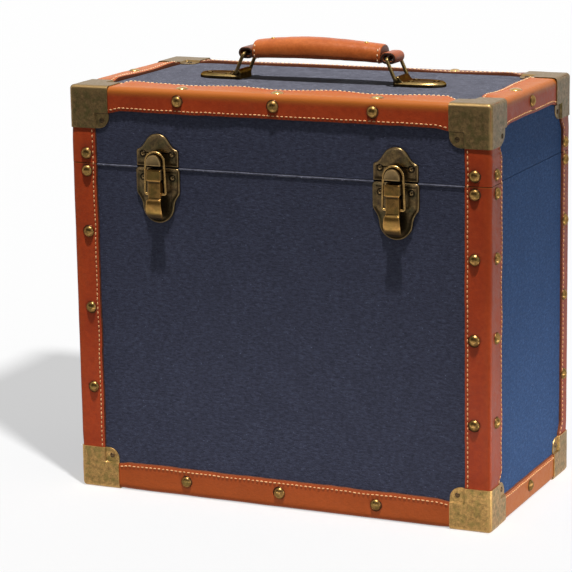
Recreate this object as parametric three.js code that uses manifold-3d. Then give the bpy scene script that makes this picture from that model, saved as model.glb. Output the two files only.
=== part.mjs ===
// Record storage box: a board case covered in leatherette, bound along every edge with tacked leather,
// with metal corner caps, two draw latches, a back-hinged lid and a padded handle on ringed end plates.
// Millimetres, +Z up. The front faces -Y, and the origin lies under the middle of the case.
import * as THREE from "three";
import { RoundedBoxGeometry } from "three/addons/geometries/RoundedBoxGeometry.js";
import { mergeVertices } from "three/addons/utils/BufferGeometryUtils.js";
import Module from "manifold-3d";

const wasm = await Module();
wasm.setup();

// Covered boards
const boxWidth = 360;
const boxDepth = 187;
const boxHeight = 335;
const lidHeight = 61.5;
const boardThickness = 6;
const boardRound = 1;
const arrisSteps = 2;

// Clearances
const glueGap = 0.1; // between pieces that are glued or nailed together
const seamGap = 0.5; // between the lid and the body
const runGap = 0.35; // round what turns or slides
const overrun = 1; // how far a cutter passes the face that it cuts
const weldDistance = 1e-4;

// Leather edge binding
const leatherThickness = 1.5;
const flangeWidth = 21.2;
const topTrimWidth = 19.4; // down the front and the sides, under the lid's upper edge
const crownFlangeWidth = 26; // on top, behind the front edge
const sideFrontFlangeWidth = 25.4;
const sideBackFlangeWidth = 15.8;

// Brass tacks
const tackRadius = 4.7;
const tackHeight = 3;
const crownTackHeight = 1.6;
const tackInset = 13.2;
const topTackInset = 9.4;
const bottomTackInset = 12.1;
const crownTackInset = 9.6;
const sideBackTackInset = 10.8;
const tackSink = 0.4;
const headRimShare = 0.22;
const headShoulderShare = 0.72;
const headShoulderRiseShare = 0.76;
const tackSides = 8;
const longTackSpacing = 84.5;
const crownTackForward = 12;
const seamTackRise = 8;
const seamTackDrop = 6.5;
const bodyTackShares = [0.21, 0.443, 0.691];

// Corner caps
const capThickness = 0.8;
const capReach = 35;
const capTabRound = 9.5;
const capStep = 0.9;
const nailRadius = 2.4;
const nailHeight = 1.1;
const nailSides = 7;

// Inner lip that guides the lid
const lipThickness = 2;
const lipRise = 8;
const lipDepth = 34;

// Draw latches
const latchSpreadShare = 0.575;
const plateThickness = 1.4;
const rimHeight = 0.6;
const rimWidth = 1.3;
const strikeHalf = 18.8;
const strikeShoulder = 12;
const strikeLedgeHalf = 16.8;
const strikeLedgeRise = 14.4;
const strikeScoopHalf = 13.7;
const strikeScoopRise = 15.5;
const strikeNeckHalf = 10.6;
const strikeNeckRise = 21;
const strikeDomeHalf = 7.2;
const strikeTop = 27.1;
const baseHalf = 19.6;
const baseCorner = 2.6;
const baseShoulder = 19;
const baseWaistHalf = 14.2;
const baseWaistDrop = 31.5;
const baseDrop = 45.6;
const screwRadius = 2.5;
const screwHeight = 0.9;
const screwSides = 7;
const screwOut = 13;
const strikeScrewRise = 10.2;
const baseScrewDrop = 8.6;
const keeperHalf = 6.8;
const keeperRise = 1.9;
const keeperHeight = 9.3;
const keeperProud = 3.4;
const cheekThickness = 1.2;
const cheekDrop = 9.6;
const cheekRound = 2;
const leverPivotDrop = 3.4;
const leverPivotOut = 5.6;
const leverBarrel = 2.6;
const leverPinRadius = 1.1;
const leverNeckHalf = 4.7;
const leverHoodHalf = 6.8;
const leverHoodOut = 10;
const leverHoodTop = 1.4;
const leverHoodEnd = 10.3;
const leverSheet = 1.1;
const leverHalf = 5.5;
const leverWideTop = 11.4;
const leverTabHalf = 6.9;
const leverTabStart = 24;
const leverBulgeDrop = 30.5;
const leverBulgeOut = 11.2;
const leverStrapOut = 8.9;
const leverEndDrop = 42.4;
const leverEndOut = 6.6;
const leverCheekBack = 4.2;
const leverCheekEnd = 25;
const bailWire = 1.1;
const bailTopHalf = 8.4;
const bailEndHalf = 9.4;
const bailTopRise = 12.8;
const bailPinDrop = 21.3;
const bailPinBite = 2.2;
const bailBend = 2.2;
const wireSides = 7;
const bailSteps = 32;

// Back hinges
const hingeLeafHalf = 24;
const hingeLeafHeight = 22;
const hingeAxisOut = 3.4;
const hingeBarrel = 3;
const hingePinRadius = 1.3;
const hingeSides = 16;
const hingeScrewOut = 16;
const hingeCorner = 3;

// Handle
const ringTopLead = 7.3; // from the grip's end out to the ring's top bar
const ringSplay = 7.7; // from the ring's top bar out to its pivot
const ringPivotRise = 5;
const ringTopRise = 22.3;
const ringWire = 1.5;
const ringHalf = 14;
const ringBend = 2.2;
const ringSteps = 32;
const endPlateLap = 4.5; // inwards of the ring's pivot
const endPlateReach = 38; // outwards of the ring's pivot
const endPlateHalf = 12.4;
const endPlateStraightReach = 17;
const endPlateHeight = 4.4;
const endPlateBevel = 1.6;
const endPlateNeckHalf = 11.2;
const endPlateNeckReach = 4;
const endPlateScrewReach = 30;
const knuckleRadius = 3.1;
const gripHalf = 56;
const gripTopCentre = 37;
const gripTopEnd = 31;
const gripUnderCentre = 21;
const gripUnderEnd = 19.2;
const gripHalfWidthCentre = 13;
const gripHalfWidthEnd = 10.5;
const gripSlices = 14;
const gripSides = 16;
const gripRimRound = 2.4;
const gripRimFillShare = 0.25;
const gripWaistShare = 1 / 3;
const gripCrownBulge = 0.85;
const gripSoleBulge = 0.5;
const gripRivetInset = 14;
const gripRivetRadius = 2;
const gripRivetHeight = 0.7;
const loopThickness = 2.6;
const loopHalfWidth = 10.2;
const loopStandOff = 0.4;
const loopLength = 13.5;
const loopHoleHeight = 4.4;
const loopTongue = 10;
const loopTongueThickness = 2.4;

// Derived planes and levels
const bindLevel = glueGap + leatherThickness; // from a board's face to the leather's face
const capLevel = bindLevel + glueGap + capThickness; // from a board's face to a cap's face
const floorRise = capLevel;
const topFace = floorRise + boxHeight;
const seam = topFace - lidHeight;
const frontFace = -boxDepth / 2;
const backFace = boxDepth / 2;
const latchSpacing = boxWidth * latchSpreadShare;
const caseCentre = new THREE.Vector3(0, 0, floorRise + boxHeight / 2);
const plateFace = glueGap + plateThickness;
const keeperFace = plateFace + keeperProud;
const bailOut = keeperFace + runGap + bailWire;
const ringTopOut = gripHalf + ringTopLead;
const ringPivotOut = ringTopOut + ringSplay;
const endPlateInner = ringPivotOut - endPlateLap;
const endPlateNeck = ringPivotOut + endPlateNeckReach;
const endPlateStraight = ringPivotOut + endPlateStraightReach;
const endPlateScrew = ringPivotOut + endPlateScrewReach;
const endPlateTip = ringPivotOut + endPlateReach;
const gripRivetOut = gripHalf - gripRivetInset;
const loopInner = gripHalf + loopStandOff;
const loopOuter = loopInner + loopLength;
const uprights = [
  ["front_left", -1, -1],
  ["front_right", 1, -1],
  ["back_left", -1, 1],
  ["back_right", 1, 1],
];

const finishes = {
  leatherette: { color: 0x262a3f, roughness: 0.62, metalness: 0 },
  leather: { color: 0x8c3d1c, roughness: 0.45, metalness: 0 },
  lining: { color: 0x2b2620, roughness: 0.9, metalness: 0 },
  bronze: { color: 0x5c4a2a, roughness: 0.42, metalness: 0.9 },
  brass: { color: 0x8a6a36, roughness: 0.35, metalness: 0.95 },
};

const part = new THREE.Group();

// A closed geometry as a solid that can be joined and cut.
function solid(geometry) {
  const bare = new THREE.BufferGeometry();
  bare.setAttribute("position", geometry.getAttribute("position"));
  bare.setIndex(geometry.index);
  const welded = mergeVertices(bare, weldDistance);
  return new wasm.Manifold(
    new wasm.Mesh({
      numProp: 3,
      vertProperties: welded.attributes.position.array,
      triVerts: new Uint32Array(welded.index.array),
    }),
  );
}

function addPiece(name, finish, body) {
  const mesh = body.getMesh();
  const geometry = new THREE.BufferGeometry();
  geometry.setAttribute("position", new THREE.BufferAttribute(mesh.vertProperties, mesh.numProp));
  geometry.setIndex(new THREE.BufferAttribute(mesh.triVerts, 1));
  geometry.computeVertexNormals();
  const piece = new THREE.Mesh(geometry, new THREE.MeshStandardMaterial(finishes[finish]));
  piece.name = name;
  part.add(piece);
}

// A box between two corners, in any order.
function block(from, to) {
  const low = new THREE.Vector3(...from.map((v, i) => Math.min(v, to[i])));
  const high = new THREE.Vector3(...from.map((v, i) => Math.max(v, to[i])));
  const size = high.clone().sub(low);
  const middle = low.add(high).multiplyScalar(1 / 2);
  return solid(new THREE.BoxGeometry(...size).translate(...middle));
}

// The case's rounded outline, grown by a level above the boards' faces.
function caseAt(level) {
  const grown = 2 * level;
  const box = new RoundedBoxGeometry(
    boxWidth + grown,
    boxDepth + grown,
    boxHeight + grown,
    arrisSteps,
    boardRound + level,
  );
  return solid(box.translate(...caseCentre));
}

// A flat shape drawn in X and Z, extruded forwards from a face.
function forwards(shape, depth, bevel = {}) {
  const options = { depth, bevelEnabled: false, curveSegments: 6, ...bevel };
  return new THREE.ExtrudeGeometry(shape, options).rotateX(Math.PI / 2);
}

// A profile drawn as (distance in front, height), extruded across X and centred.
function across(shape, width) {
  const turn = new THREE.Matrix4().makeBasis(
    new THREE.Vector3(0, -1, 0),
    new THREE.Vector3(0, 0, 1),
    new THREE.Vector3(-1, 0, 0),
  );
  const options = { depth: width, bevelEnabled: false, curveSegments: 6 };
  return new THREE.ExtrudeGeometry(shape, options).applyMatrix4(turn).translate(width / 2, 0, 0);
}

function rodAcross(radius, length, sides, out, height) {
  return solid(
    new THREE.CylinderGeometry(radius, radius, length, sides)
      .rotateZ(Math.PI / 2)
      .translate(0, -out, height),
  );
}

// A wire of round section along an open path.
function wire(path, radius, steps) {
  const section = new THREE.Shape();
  for (let i = 0; i < wireSides; i++) {
    const turn = (2 * Math.PI * i) / wireSides;
    const at = [radius * Math.cos(turn), radius * Math.sin(turn)];
    if (i) section.lineTo(...at);
    else section.moveTo(...at);
  }
  section.closePath();
  return solid(new THREE.ExtrudeGeometry(section, { steps, extrudePath: path }));
}

// A path through corners, each one rounded by the bend length given.
function bentPath(corners, bend, closed = false) {
  const path = new THREE.CurvePath();
  const count = corners.length;
  const towards = (a, b, d) => a.clone().add(b.clone().sub(a).setLength(d));
  const first = closed ? 0 : 1;
  const last = closed ? count : count - 1;
  let from = closed ? towards(corners[0], corners[count - 1], bend) : corners[0];
  for (let i = first; i < last; i++) {
    const corner = corners[i];
    const before = corners[(i + count - 1) % count];
    const after = corners[(i + 1) % count];
    const enter = towards(corner, before, bend);
    const leave = towards(corner, after, bend);
    if (from.distanceTo(enter) > weldDistance) path.add(new THREE.LineCurve3(from, enter));
    path.add(new THREE.QuadraticBezierCurve3(enter, corner, leave));
    from = leave;
  }
  const end = closed ? towards(corners[0], corners[count - 1], bend) : corners[count - 1];
  path.add(new THREE.LineCurve3(from, end));
  return path;
}

// A low domed head on a shank, its face looking along +Z.
function dome(radius, height, sides, sink) {
  const profile = [
    new THREE.Vector2(0, -sink),
    new THREE.Vector2(radius, -sink),
    new THREE.Vector2(radius, height * headRimShare),
    new THREE.Vector2(radius * headShoulderShare, height * headShoulderRiseShare),
    new THREE.Vector2(0, height),
  ];
  return new THREE.LatheGeometry(profile, sides).rotateX(Math.PI / 2);
}

// Turns what looks along +Z to look out of a face: axis 0, 1 or 2 and its sign.
function facing(geometry, axis, sign) {
  if (axis === 0) return geometry.rotateY((sign * Math.PI) / 2);
  if (axis === 1) return geometry.rotateX((-sign * Math.PI) / 2);
  return sign > 0 ? geometry : geometry.rotateX(Math.PI);
}

// Where the case's outline lies on one side of an axis, at a level above the boards.
function faceAt(axis, sign, level) {
  const half = [boxWidth, boxDepth, boxHeight][axis] / 2;
  return caseCentre.getComponent(axis) + sign * (half + level);
}

function addBoards() {
  const outline = caseAt(0);
  const inner = boardThickness + glueGap;
  const splits = { lid: [seam + seamGap / 2, topFace], body: [floorRise, seam - seamGap / 2] };
  for (const [half, [low, high]] of Object.entries(splits)) {
    const sides = {
      front: [[-boxWidth / 2, frontFace], [boxWidth / 2, frontFace + boardThickness]],
      back: [[-boxWidth / 2, backFace - boardThickness], [boxWidth / 2, backFace]],
      left: [[-boxWidth / 2, frontFace + inner], [boardThickness - boxWidth / 2, backFace - inner]],
      right: [[boxWidth / 2 - boardThickness, frontFace + inner], [boxWidth / 2, backFace - inner]],
    };
    for (const [side, [from, to]] of Object.entries(sides)) {
      const board = block([...from, low], [...to, high]).intersect(outline);
      addPiece(`${half}_${side}_board`, "leatherette", board);
    }
    const under = half === "lid" ? topFace - boardThickness : floorRise;
    const panel = block(
      [inner - boxWidth / 2, frontFace + inner, under],
      [boxWidth / 2 - inner, backFace - inner, under + boardThickness],
    );
    addPiece(half === "lid" ? "lid_top_board" : "body_bottom_board", "leatherette", panel);
  }
}

function addInnerLip() {
  const outer = boardThickness + glueGap;
  const inner = outer + lipThickness;
  const frame = (inset, low, high) =>
    block(
      [inset - boxWidth / 2, frontFace + inset, low],
      [boxWidth / 2 - inset, backFace - inset, high],
    );
  const below = seam - seamGap / 2;
  const glued = frame(outer, seam - lipDepth, below);
  const raised = frame(outer + seamGap, below, seam + lipRise);
  const hollow = frame(inner + seamGap, seam - lipDepth - overrun, seam + lipRise + overrun);
  addPiece("inner_lip", "lining", glued.add(raised).subtract(hollow));
}

// Each tack sits on the leather at a place given as the two coordinates that its face spans.
function tackOn(axis, sign, place) {
  const height = axis === 2 ? crownTackHeight : tackHeight;
  const head = facing(dome(tackRadius, height, tackSides, tackSink), axis, sign);
  const at = [...place];
  at.splice(axis, 0, faceAt(axis, sign, bindLevel));
  return solid(head.translate(...at));
}

function tacksAlong(strip, axis, sign, places) {
  return places.reduce((sum, place) => sum.add(tackOn(axis, sign, place)), strip);
}

// The leather's width, height or depth past the cap at one end of an axis.
function pastCap(axis, sign) {
  return faceAt(axis, sign, capLevel) - sign * (capReach + glueGap);
}

// Strips along the front and back edges of the top or the bottom, from end to end of the case.
function addLongBinding(leather, level, up, drop, tackDrop) {
  const outer = faceAt(2, up, bindLevel);
  const alongFront = [-longTackSpacing, 0, longTackSpacing];
  for (const [name, sy] of [["front", -1], ["back", 1]]) {
    const edge = faceAt(1, sy, bindLevel);
    const corner = [faceAt(0, -1, bindLevel), edge, outer];
    const standard = block(corner, [faceAt(0, 1, bindLevel), edge - sy * flangeWidth, outer - up * drop]);
    const reach = up > 0 && sy < 0 ? crownFlangeWidth : flangeWidth;
    const wide = block(
      [pastCap(0, -1), edge, outer],
      [pastCap(0, 1), edge - sy * reach, outer - up * drop],
    );
    let strip = leather.intersect(standard.add(wide));
    strip = tacksAlong(strip, 1, sy, alongFront.map((x) => [x, outer - up * tackDrop]));
    const crown = sy < 0 ? alongFront : [longTackSpacing];
    if (up > 0) strip = tacksAlong(strip, 2, up, crown.map((x) => [x, edge - sy * crownTackInset]));
    addPiece(`${level}_${name}_binding`, "leather", strip);
  }
}

// Strips along the side edges of the top or the bottom, butted between the long ones.
function addShortBinding(leather, level, up, drop, tackDrop) {
  const outer = faceAt(2, up, bindLevel);
  const butt = flangeWidth + glueGap;
  for (const [name, sx] of [["left", -1], ["right", 1]]) {
    const edge = faceAt(0, sx, bindLevel);
    const ends = [faceAt(1, -1, bindLevel) + butt, faceAt(1, 1, bindLevel) - butt];
    const span = block([edge, ends[0], outer], [edge - sx * flangeWidth, ends[1], outer - up * drop]);
    let strip = tacksAlong(leather.intersect(span), 0, sx, [[0, outer - up * tackDrop]]);
    const crown = [edge - sx * crownTackInset, sx > 0 ? -crownTackForward : 0];
    if (up > 0) strip = tacksAlong(strip, 2, up, [crown]);
    addPiece(`${level}_${name}_binding`, "leather", strip);
  }
}

// Upright strips over the case's four corners, each in a lid piece and a body piece.
function addUprightBinding(leather) {
  const bodyHeight = seam - floorRise;
  const bodyTacks = [seam - seamTackDrop, ...bodyTackShares.map((s) => seam - s * bodyHeight)];
  const spans = {
    lid: [seam + seamGap / 2, faceAt(2, 1, bindLevel) - topTrimWidth - glueGap, [seam + seamTackRise]],
    body: [faceAt(2, -1, bindLevel) + flangeWidth + glueGap, seam - seamGap / 2, bodyTacks],
  };
  for (const [side, sx, sy] of uprights) {
    const corner = [faceAt(0, sx, bindLevel), faceAt(1, sy, bindLevel)];
    const reach = sy < 0 ? sideFrontFlangeWidth : sideBackFlangeWidth;
    const inset = sy < 0 ? tackInset : sideBackTackInset;
    const over = (width, low, high) =>
      block([...corner, low], [corner[0] - sx * flangeWidth, corner[1] - sy * width, high]);
    for (const [half, [low, high, heights]] of Object.entries(spans)) {
      const open = [Math.max(low, pastCap(2, -1)), Math.min(high, pastCap(2, 1))];
      const edge = over(Math.min(reach, flangeWidth), low, high).add(over(reach, ...open));
      let strip = leather.intersect(edge);
      strip = tacksAlong(strip, 1, sy, heights.map((z) => [corner[0] - sx * tackInset, z]));
      strip = tacksAlong(strip, 0, sx, heights.map((z) => [corner[1] - sy * inset, z]));
      addPiece(`${half}_${side}_binding`, "leather", strip);
    }
  }
}

function addBinding() {
  const leather = caseAt(bindLevel).subtract(caseAt(glueGap));
  const drops = [["top", 1, topTrimWidth, topTackInset], ["bottom", -1, flangeWidth, bottomTackInset]];
  for (const [level, up, drop, tackDrop] of drops) {
    addLongBinding(leather, level, up, drop, tackDrop);
    addShortBinding(leather, level, up, drop, tackDrop);
  }
  addUprightBinding(leather);
}

// A corner cap wraps three faces over the binding, and a nailed tab on each face steps down to the board.
function cornerCap(signs) {
  const from = (axis, inwards) => faceAt(axis, signs[axis], capLevel) - signs[axis] * inwards;
  const cube = (spans) => block(spans.map(([a], i) => from(i, a)), spans.map(([, b], i) => from(i, b)));
  const reach = [-overrun, capReach];
  const tabStart = flangeWidth + capLevel - bindLevel + glueGap;
  const tab = [tabStart, capReach];
  const upper = caseAt(capLevel).subtract(caseAt(bindLevel + glueGap));
  const lower = caseAt(glueGap + capThickness).subtract(caseAt(glueGap));
  const full = caseAt(capLevel).subtract(caseAt(glueGap));
  const deep = [-overrun, capLevel + overrun];
  let cap = upper.intersect(cube([reach, reach, reach]));
  for (let axis = 0; axis < 3; axis++) {
    const next = (axis + 1) % 3;
    const square = (u, v) => cube([0, 1, 2].map((i) => (i === axis ? deep : i === next ? u : v)));
    const step = [tabStart, tabStart + capStep];
    cap = cap.subtract(square(tab.map((t, i) => t + i * overrun), tab.map((t, i) => t + i * overrun)));
    const foot = lower.intersect(square(tab, tab));
    const walls = full.intersect(square(step, tab).add(square(tab, step)));
    const corner = new THREE.CylinderGeometry(capTabRound, capTabRound, 2 * capReach, 4 * nailSides);
    const centre = [0, 1, 2].map((i) => (i === axis ? from(i, 0) : from(i, capReach - capTabRound)));
    const round = solid(facing(corner.rotateX(Math.PI / 2), axis, 1).translate(...centre));
    const cutFrom = capReach - capTabRound;
    const cut = [cutFrom, capReach + overrun];
    const trimmed = square(cut, cut).subtract(round);
    const place = [0, 1, 2].map((i) => (i === axis ? from(i, 0) : from(i, (tabStart + capReach) / 2)));
    place[axis] = faceAt(axis, signs[axis], glueGap + capThickness);
    const head = dome(nailRadius, nailHeight, nailSides, capThickness / 2);
    const nail = solid(facing(head, axis, signs[axis]).translate(...place));
    cap = cap.add(foot.add(walls).subtract(trimmed)).add(nail);
  }
  return cap;
}

function addCaps() {
  for (const [level, up] of [["top", 1], ["bottom", -1]])
    for (const [side, sx, sy] of uprights)
      addPiece(`${level}_${side}_corner_cap`, "bronze", cornerCap([sx, sy, up]));
}

// Half an outline from its foot or head to the middle, closed by its mirror image.
function mirrored(draw) {
  const side = new THREE.Path();
  draw(side);
  const points = side.getPoints(5);
  const other = points.map((p) => new THREE.Vector2(-p.x, p.y)).reverse();
  const all = [...points, ...other].filter((p, i, list) => {
    const next = list[(i + 1) % list.length];
    return p.distanceTo(next) > weldDistance;
  });
  return new THREE.Shape(all);
}

function strikeOutline() {
  return mirrored((side) => {
    side.moveTo(strikeHalf, seamGap);
    side.lineTo(strikeHalf, strikeShoulder);
    side.quadraticCurveTo(strikeHalf, strikeLedgeRise, strikeLedgeHalf, strikeLedgeRise);
    side.quadraticCurveTo(strikeScoopHalf, strikeScoopRise, strikeNeckHalf, strikeNeckRise);
    side.quadraticCurveTo(strikeDomeHalf, strikeTop, 0, strikeTop);
  });
}

function baseOutline() {
  const top = -seamGap;
  return mirrored((side) => {
    side.moveTo(0, top);
    side.lineTo(baseHalf - baseCorner, top);
    side.quadraticCurveTo(baseHalf, top, baseHalf, top - baseCorner);
    side.lineTo(baseHalf, -baseShoulder);
    side.bezierCurveTo(
      baseHalf,
      -(baseShoulder + baseWaistDrop) / 2,
      baseWaistHalf,
      -(baseShoulder + baseWaistDrop) / 2,
      baseWaistHalf,
      -baseWaistDrop,
    );
    side.bezierCurveTo(
      baseWaistHalf,
      -(baseWaistDrop + baseDrop) / 2,
      baseWaistHalf / 2,
      -baseDrop,
      0,
      -baseDrop,
    );
  });
}

// A stamped plate: a sheet with a raised rim round its edge.
function rimmedPlate(outline) {
  const sheet = solid(forwards(outline, plateThickness));
  const box = new THREE.Box2().setFromPoints(outline.getPoints());
  const size = box.getSize(new THREE.Vector2());
  const middle = box.getCenter(new THREE.Vector2());
  const shrink = new THREE.Vector2(1 - (2 * rimWidth) / size.x, 1 - (2 * rimWidth) / size.y);
  const inner = new THREE.Shape(
    outline.getPoints().map((p) => p.clone().sub(middle).multiply(shrink).add(middle)),
  );
  const rim = solid(forwards(outline, plateThickness + rimHeight)).subtract(
    solid(forwards(inner, plateThickness + rimHeight + overrun)),
  );
  return sheet.add(rim);
}

function screwsAt(plate, out, height) {
  for (const side of [-1, 1]) {
    const head = facing(dome(screwRadius, screwHeight, screwSides, plateThickness / 2), 1, -1);
    plate = plate.add(solid(head.translate(side * out, -plateThickness, height)));
  }
  return plate;
}

function keeper() {
  const shape = new THREE.Shape();
  const shoulder = keeperRise + keeperHeight - keeperHalf;
  shape.moveTo(-keeperHalf, keeperRise);
  shape.lineTo(keeperHalf, keeperRise);
  shape.lineTo(keeperHalf, shoulder);
  shape.absarc(0, shoulder, keeperHalf, 0, Math.PI, false);
  shape.closePath();
  return solid(forwards(shape, plateThickness + keeperProud));
}

// Two cheeks that carry the lever's pin, standing on the base plate.
function cheeks() {
  const profile = new THREE.Shape();
  const tip = leverPivotOut + leverBarrel - glueGap;
  const low = -cheekDrop;
  const high = -leverPivotDrop + leverBarrel;
  profile.moveTo(plateThickness / 2, low);
  profile.lineTo(tip - cheekRound, low);
  profile.quadraticCurveTo(tip, low, tip, low + cheekRound);
  profile.lineTo(tip, high - cheekRound);
  profile.quadraticCurveTo(tip, high, tip - cheekRound, high);
  profile.lineTo(plateThickness / 2, high);
  profile.closePath();
  const offset = leverNeckHalf + runGap + cheekThickness / 2;
  const one = (side) => solid(across(profile, cheekThickness).translate(side * offset, 0, 0));
  const hole = rodAcross(leverPinRadius + glueGap, 4 * leverHalf, wireSides, leverPivotOut, -leverPivotDrop);
  return one(-1).add(one(1)).subtract(hole);
}

function latchPin() {
  const length = 2 * (leverNeckHalf + runGap + cheekThickness);
  return rodAcross(leverPinRadius, length, wireSides, leverPivotOut, -leverPivotDrop);
}

// The lever's side view: a hood over the pivot, a flat strap, then a bulged finger tab curling back in.
function leverSide(outset) {
  const front = leverStrapOut - outset;
  const path = new THREE.Path();
  path.moveTo(leverHoodOut - outset, -leverHoodTop);
  path.lineTo(leverHoodOut - outset, -leverHoodEnd);
  path.lineTo(front, -leverWideTop);
  path.lineTo(front, -leverTabStart + leverBarrel);
  path.bezierCurveTo(
    front,
    -leverTabStart - leverBarrel / 2,
    leverBulgeOut - outset,
    -leverTabStart - leverBarrel / 2,
    leverBulgeOut - outset,
    -leverBulgeDrop,
  );
  path.bezierCurveTo(
    leverBulgeOut - outset,
    -(leverBulgeDrop + leverEndDrop) / 2,
    leverEndOut + leverSheet - outset / 2,
    -leverEndDrop + leverBarrel,
    leverEndOut - outset / 2,
    -leverEndDrop + outset / 2,
  );
  return path.getPoints(5);
}

function lever() {
  const outside = leverSide(0);
  const inside = leverSide(leverSheet).reverse();
  const sheet = new THREE.Shape([...outside, ...inside]);
  const wide = solid(across(sheet, 2 * Math.max(leverTabHalf, leverHoodHalf)));
  const outline = mirrored((side) => {
    side.moveTo(leverHoodHalf, overrun);
    side.lineTo(leverHoodHalf, -leverHoodEnd);
    side.lineTo(leverHalf, -leverHoodEnd);
    side.lineTo(leverHalf, -leverTabStart);
    side.quadraticCurveTo(leverTabHalf, -leverTabStart - leverBarrel, leverTabHalf, -leverBulgeDrop);
    side.lineTo(leverTabHalf, -leverEndDrop + leverTabHalf / 2);
    side.quadraticCurveTo(leverTabHalf, -leverEndDrop, leverTabHalf / 2, -leverEndDrop);
  });
  const face = solid(forwards(outline, leverBulgeOut + overrun)).intersect(wide);
  const barrel = rodAcross(leverBarrel, 2 * leverNeckHalf, hingeSides, leverPivotOut, -leverPivotDrop);
  const web = block(
    [-leverNeckHalf, -leverPivotOut, -leverPivotDrop - leverBarrel],
    [leverNeckHalf, leverSheet / 2 - leverHoodOut, -leverPivotDrop + leverBarrel / 2],
  );
  const side = new THREE.Shape();
  side.moveTo(leverStrapOut - leverSheet / 2, -leverWideTop);
  side.lineTo(leverCheekBack + leverBarrel, -leverWideTop);
  side.lineTo(leverCheekBack, -leverWideTop - leverBarrel);
  side.lineTo(leverCheekBack, -leverCheekEnd + leverBarrel);
  side.lineTo(leverStrapOut - leverSheet / 2, -leverCheekEnd);
  side.closePath();
  const wall = leverHalf - leverSheet / 2;
  const cheek = (sign) => solid(across(side, leverSheet).translate(sign * wall, 0, 0));
  const pinHole = rodAcross(
    leverPinRadius + runGap, 4 * leverHalf, hingeSides, leverPivotOut, -leverPivotDrop,
  );
  const bailHole = rodAcross(bailWire + runGap, 4 * leverHalf, hingeSides, bailOut, -bailPinDrop);
  const body = face.add(barrel).add(web).add(cheek(-1)).add(cheek(1));
  return body.subtract(pinHole).subtract(bailHole);
}

function bail() {
  const point = (x, z) => new THREE.Vector3(x, -bailOut, z);
  const bite = leverHalf - bailPinBite;
  const arch = new THREE.CurvePath();
  const legs = (sign) => [point(sign * bite, -bailPinDrop), point(sign * bailEndHalf, -bailPinDrop)];
  const shoulder = bailTopRise - bailTopHalf;
  const [tipLeft, footLeft] = legs(-1);
  const [tipRight, footRight] = legs(1);
  const up = bentPath([tipLeft, footLeft, point(-bailTopHalf, shoulder)], bailBend);
  const down = bentPath([point(bailTopHalf, shoulder), footRight, tipRight], bailBend);
  const kappa = (4 * (Math.SQRT2 - 1)) / 3;
  const quarter = (sign) => [
    point(sign * bailTopHalf, shoulder),
    point(sign * bailTopHalf, shoulder + kappa * bailTopHalf),
    point(sign * kappa * bailTopHalf, bailTopRise),
    point(0, bailTopRise),
  ];
  arch.curves = [
    ...up.curves,
    new THREE.CubicBezierCurve3(...quarter(-1)),
    new THREE.CubicBezierCurve3(...quarter(1).reverse()),
    ...down.curves,
  ];
  return wire(arch, bailWire, bailSteps);
}

function addLatches() {
  for (const [side, sign] of [["left", -1], ["right", 1]]) {
    const onPanel = [(sign * latchSpacing) / 2, frontFace, seam];
    const at = [onPanel[0], frontFace - glueGap, seam];
    const strike = screwsAt(rimmedPlate(strikeOutline()), screwOut, strikeScrewRise).add(keeper());
    addPiece(`latch_${side}_strike_plate`, "brass", strike.translate(at));
    const base = screwsAt(rimmedPlate(baseOutline()), screwOut, -baseScrewDrop);
    addPiece(`latch_${side}_base_plate`, "brass", base.translate(at).add(cheeks().translate(onPanel)));
    addPiece(`latch_${side}_pin`, "brass", latchPin().translate(onPanel));
    addPiece(`latch_${side}_lever`, "brass", lever().translate(onPanel));
    addPiece(`latch_${side}_bail`, "brass", bail().translate(onPanel));
  }
}

// A hinge leaf on the back face, drawn upwards from the seam, with its own knuckles.
function hingeLeaf(up, knuckles) {
  const shape = new THREE.Shape();
  const low = hingeBarrel + runGap;
  const edge = hingeLeafHalf;
  shape.moveTo(-edge, low);
  shape.lineTo(edge, low);
  shape.lineTo(edge, hingeLeafHeight - hingeCorner);
  shape.quadraticCurveTo(edge, hingeLeafHeight, edge - hingeCorner, hingeLeafHeight);
  shape.lineTo(hingeCorner - edge, hingeLeafHeight);
  shape.quadraticCurveTo(-edge, hingeLeafHeight, -edge, hingeLeafHeight - hingeCorner);
  shape.closePath();
  let leaf = solid(forwards(shape, plateThickness));
  leaf = screwsAt(leaf, hingeScrewOut, (low + hingeLeafHeight) / 2);
  const third = (2 * hingeLeafHalf) / 3;
  for (const place of knuckles) {
    const middle = place * third;
    const half = third / 2 - (place === 0 ? runGap : 0);
    const barrel = new THREE.CylinderGeometry(hingeBarrel, hingeBarrel, 2 * half, hingeSides);
    const axis = hingeAxisOut - glueGap;
    leaf = leaf.add(solid(barrel.rotateZ(Math.PI / 2).translate(middle, -axis, 0)));
    leaf = leaf.add(block([middle - half, 0, 0], [middle + half, -plateThickness, low + overrun]));
  }
  const bore = hingePinRadius + glueGap;
  leaf = leaf.subtract(rodAcross(bore, 4 * hingeLeafHalf, hingeSides, hingeAxisOut - glueGap, 0));
  return up > 0 ? leaf : leaf.rotate([0, 180, 0]);
}

function addHinges() {
  for (const [side, sign] of [["left", -1], ["right", 1]]) {
    const at = [(sign * latchSpacing) / 2, backFace + glueGap, seam];
    const turned = (leaf) => leaf.rotate([0, 0, 180]).translate(at);
    addPiece(`hinge_${side}_lid_leaf`, "brass", turned(hingeLeaf(1, [0])));
    addPiece(`hinge_${side}_body_leaf`, "brass", turned(hingeLeaf(-1, [-1, 1])));
    const pin = rodAcross(hingePinRadius, 2 * hingeLeafHalf, hingeSides, hingeAxisOut - glueGap, 0);
    addPiece(`hinge_${side}_pin`, "brass", turned(pin));
  }
}

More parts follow.
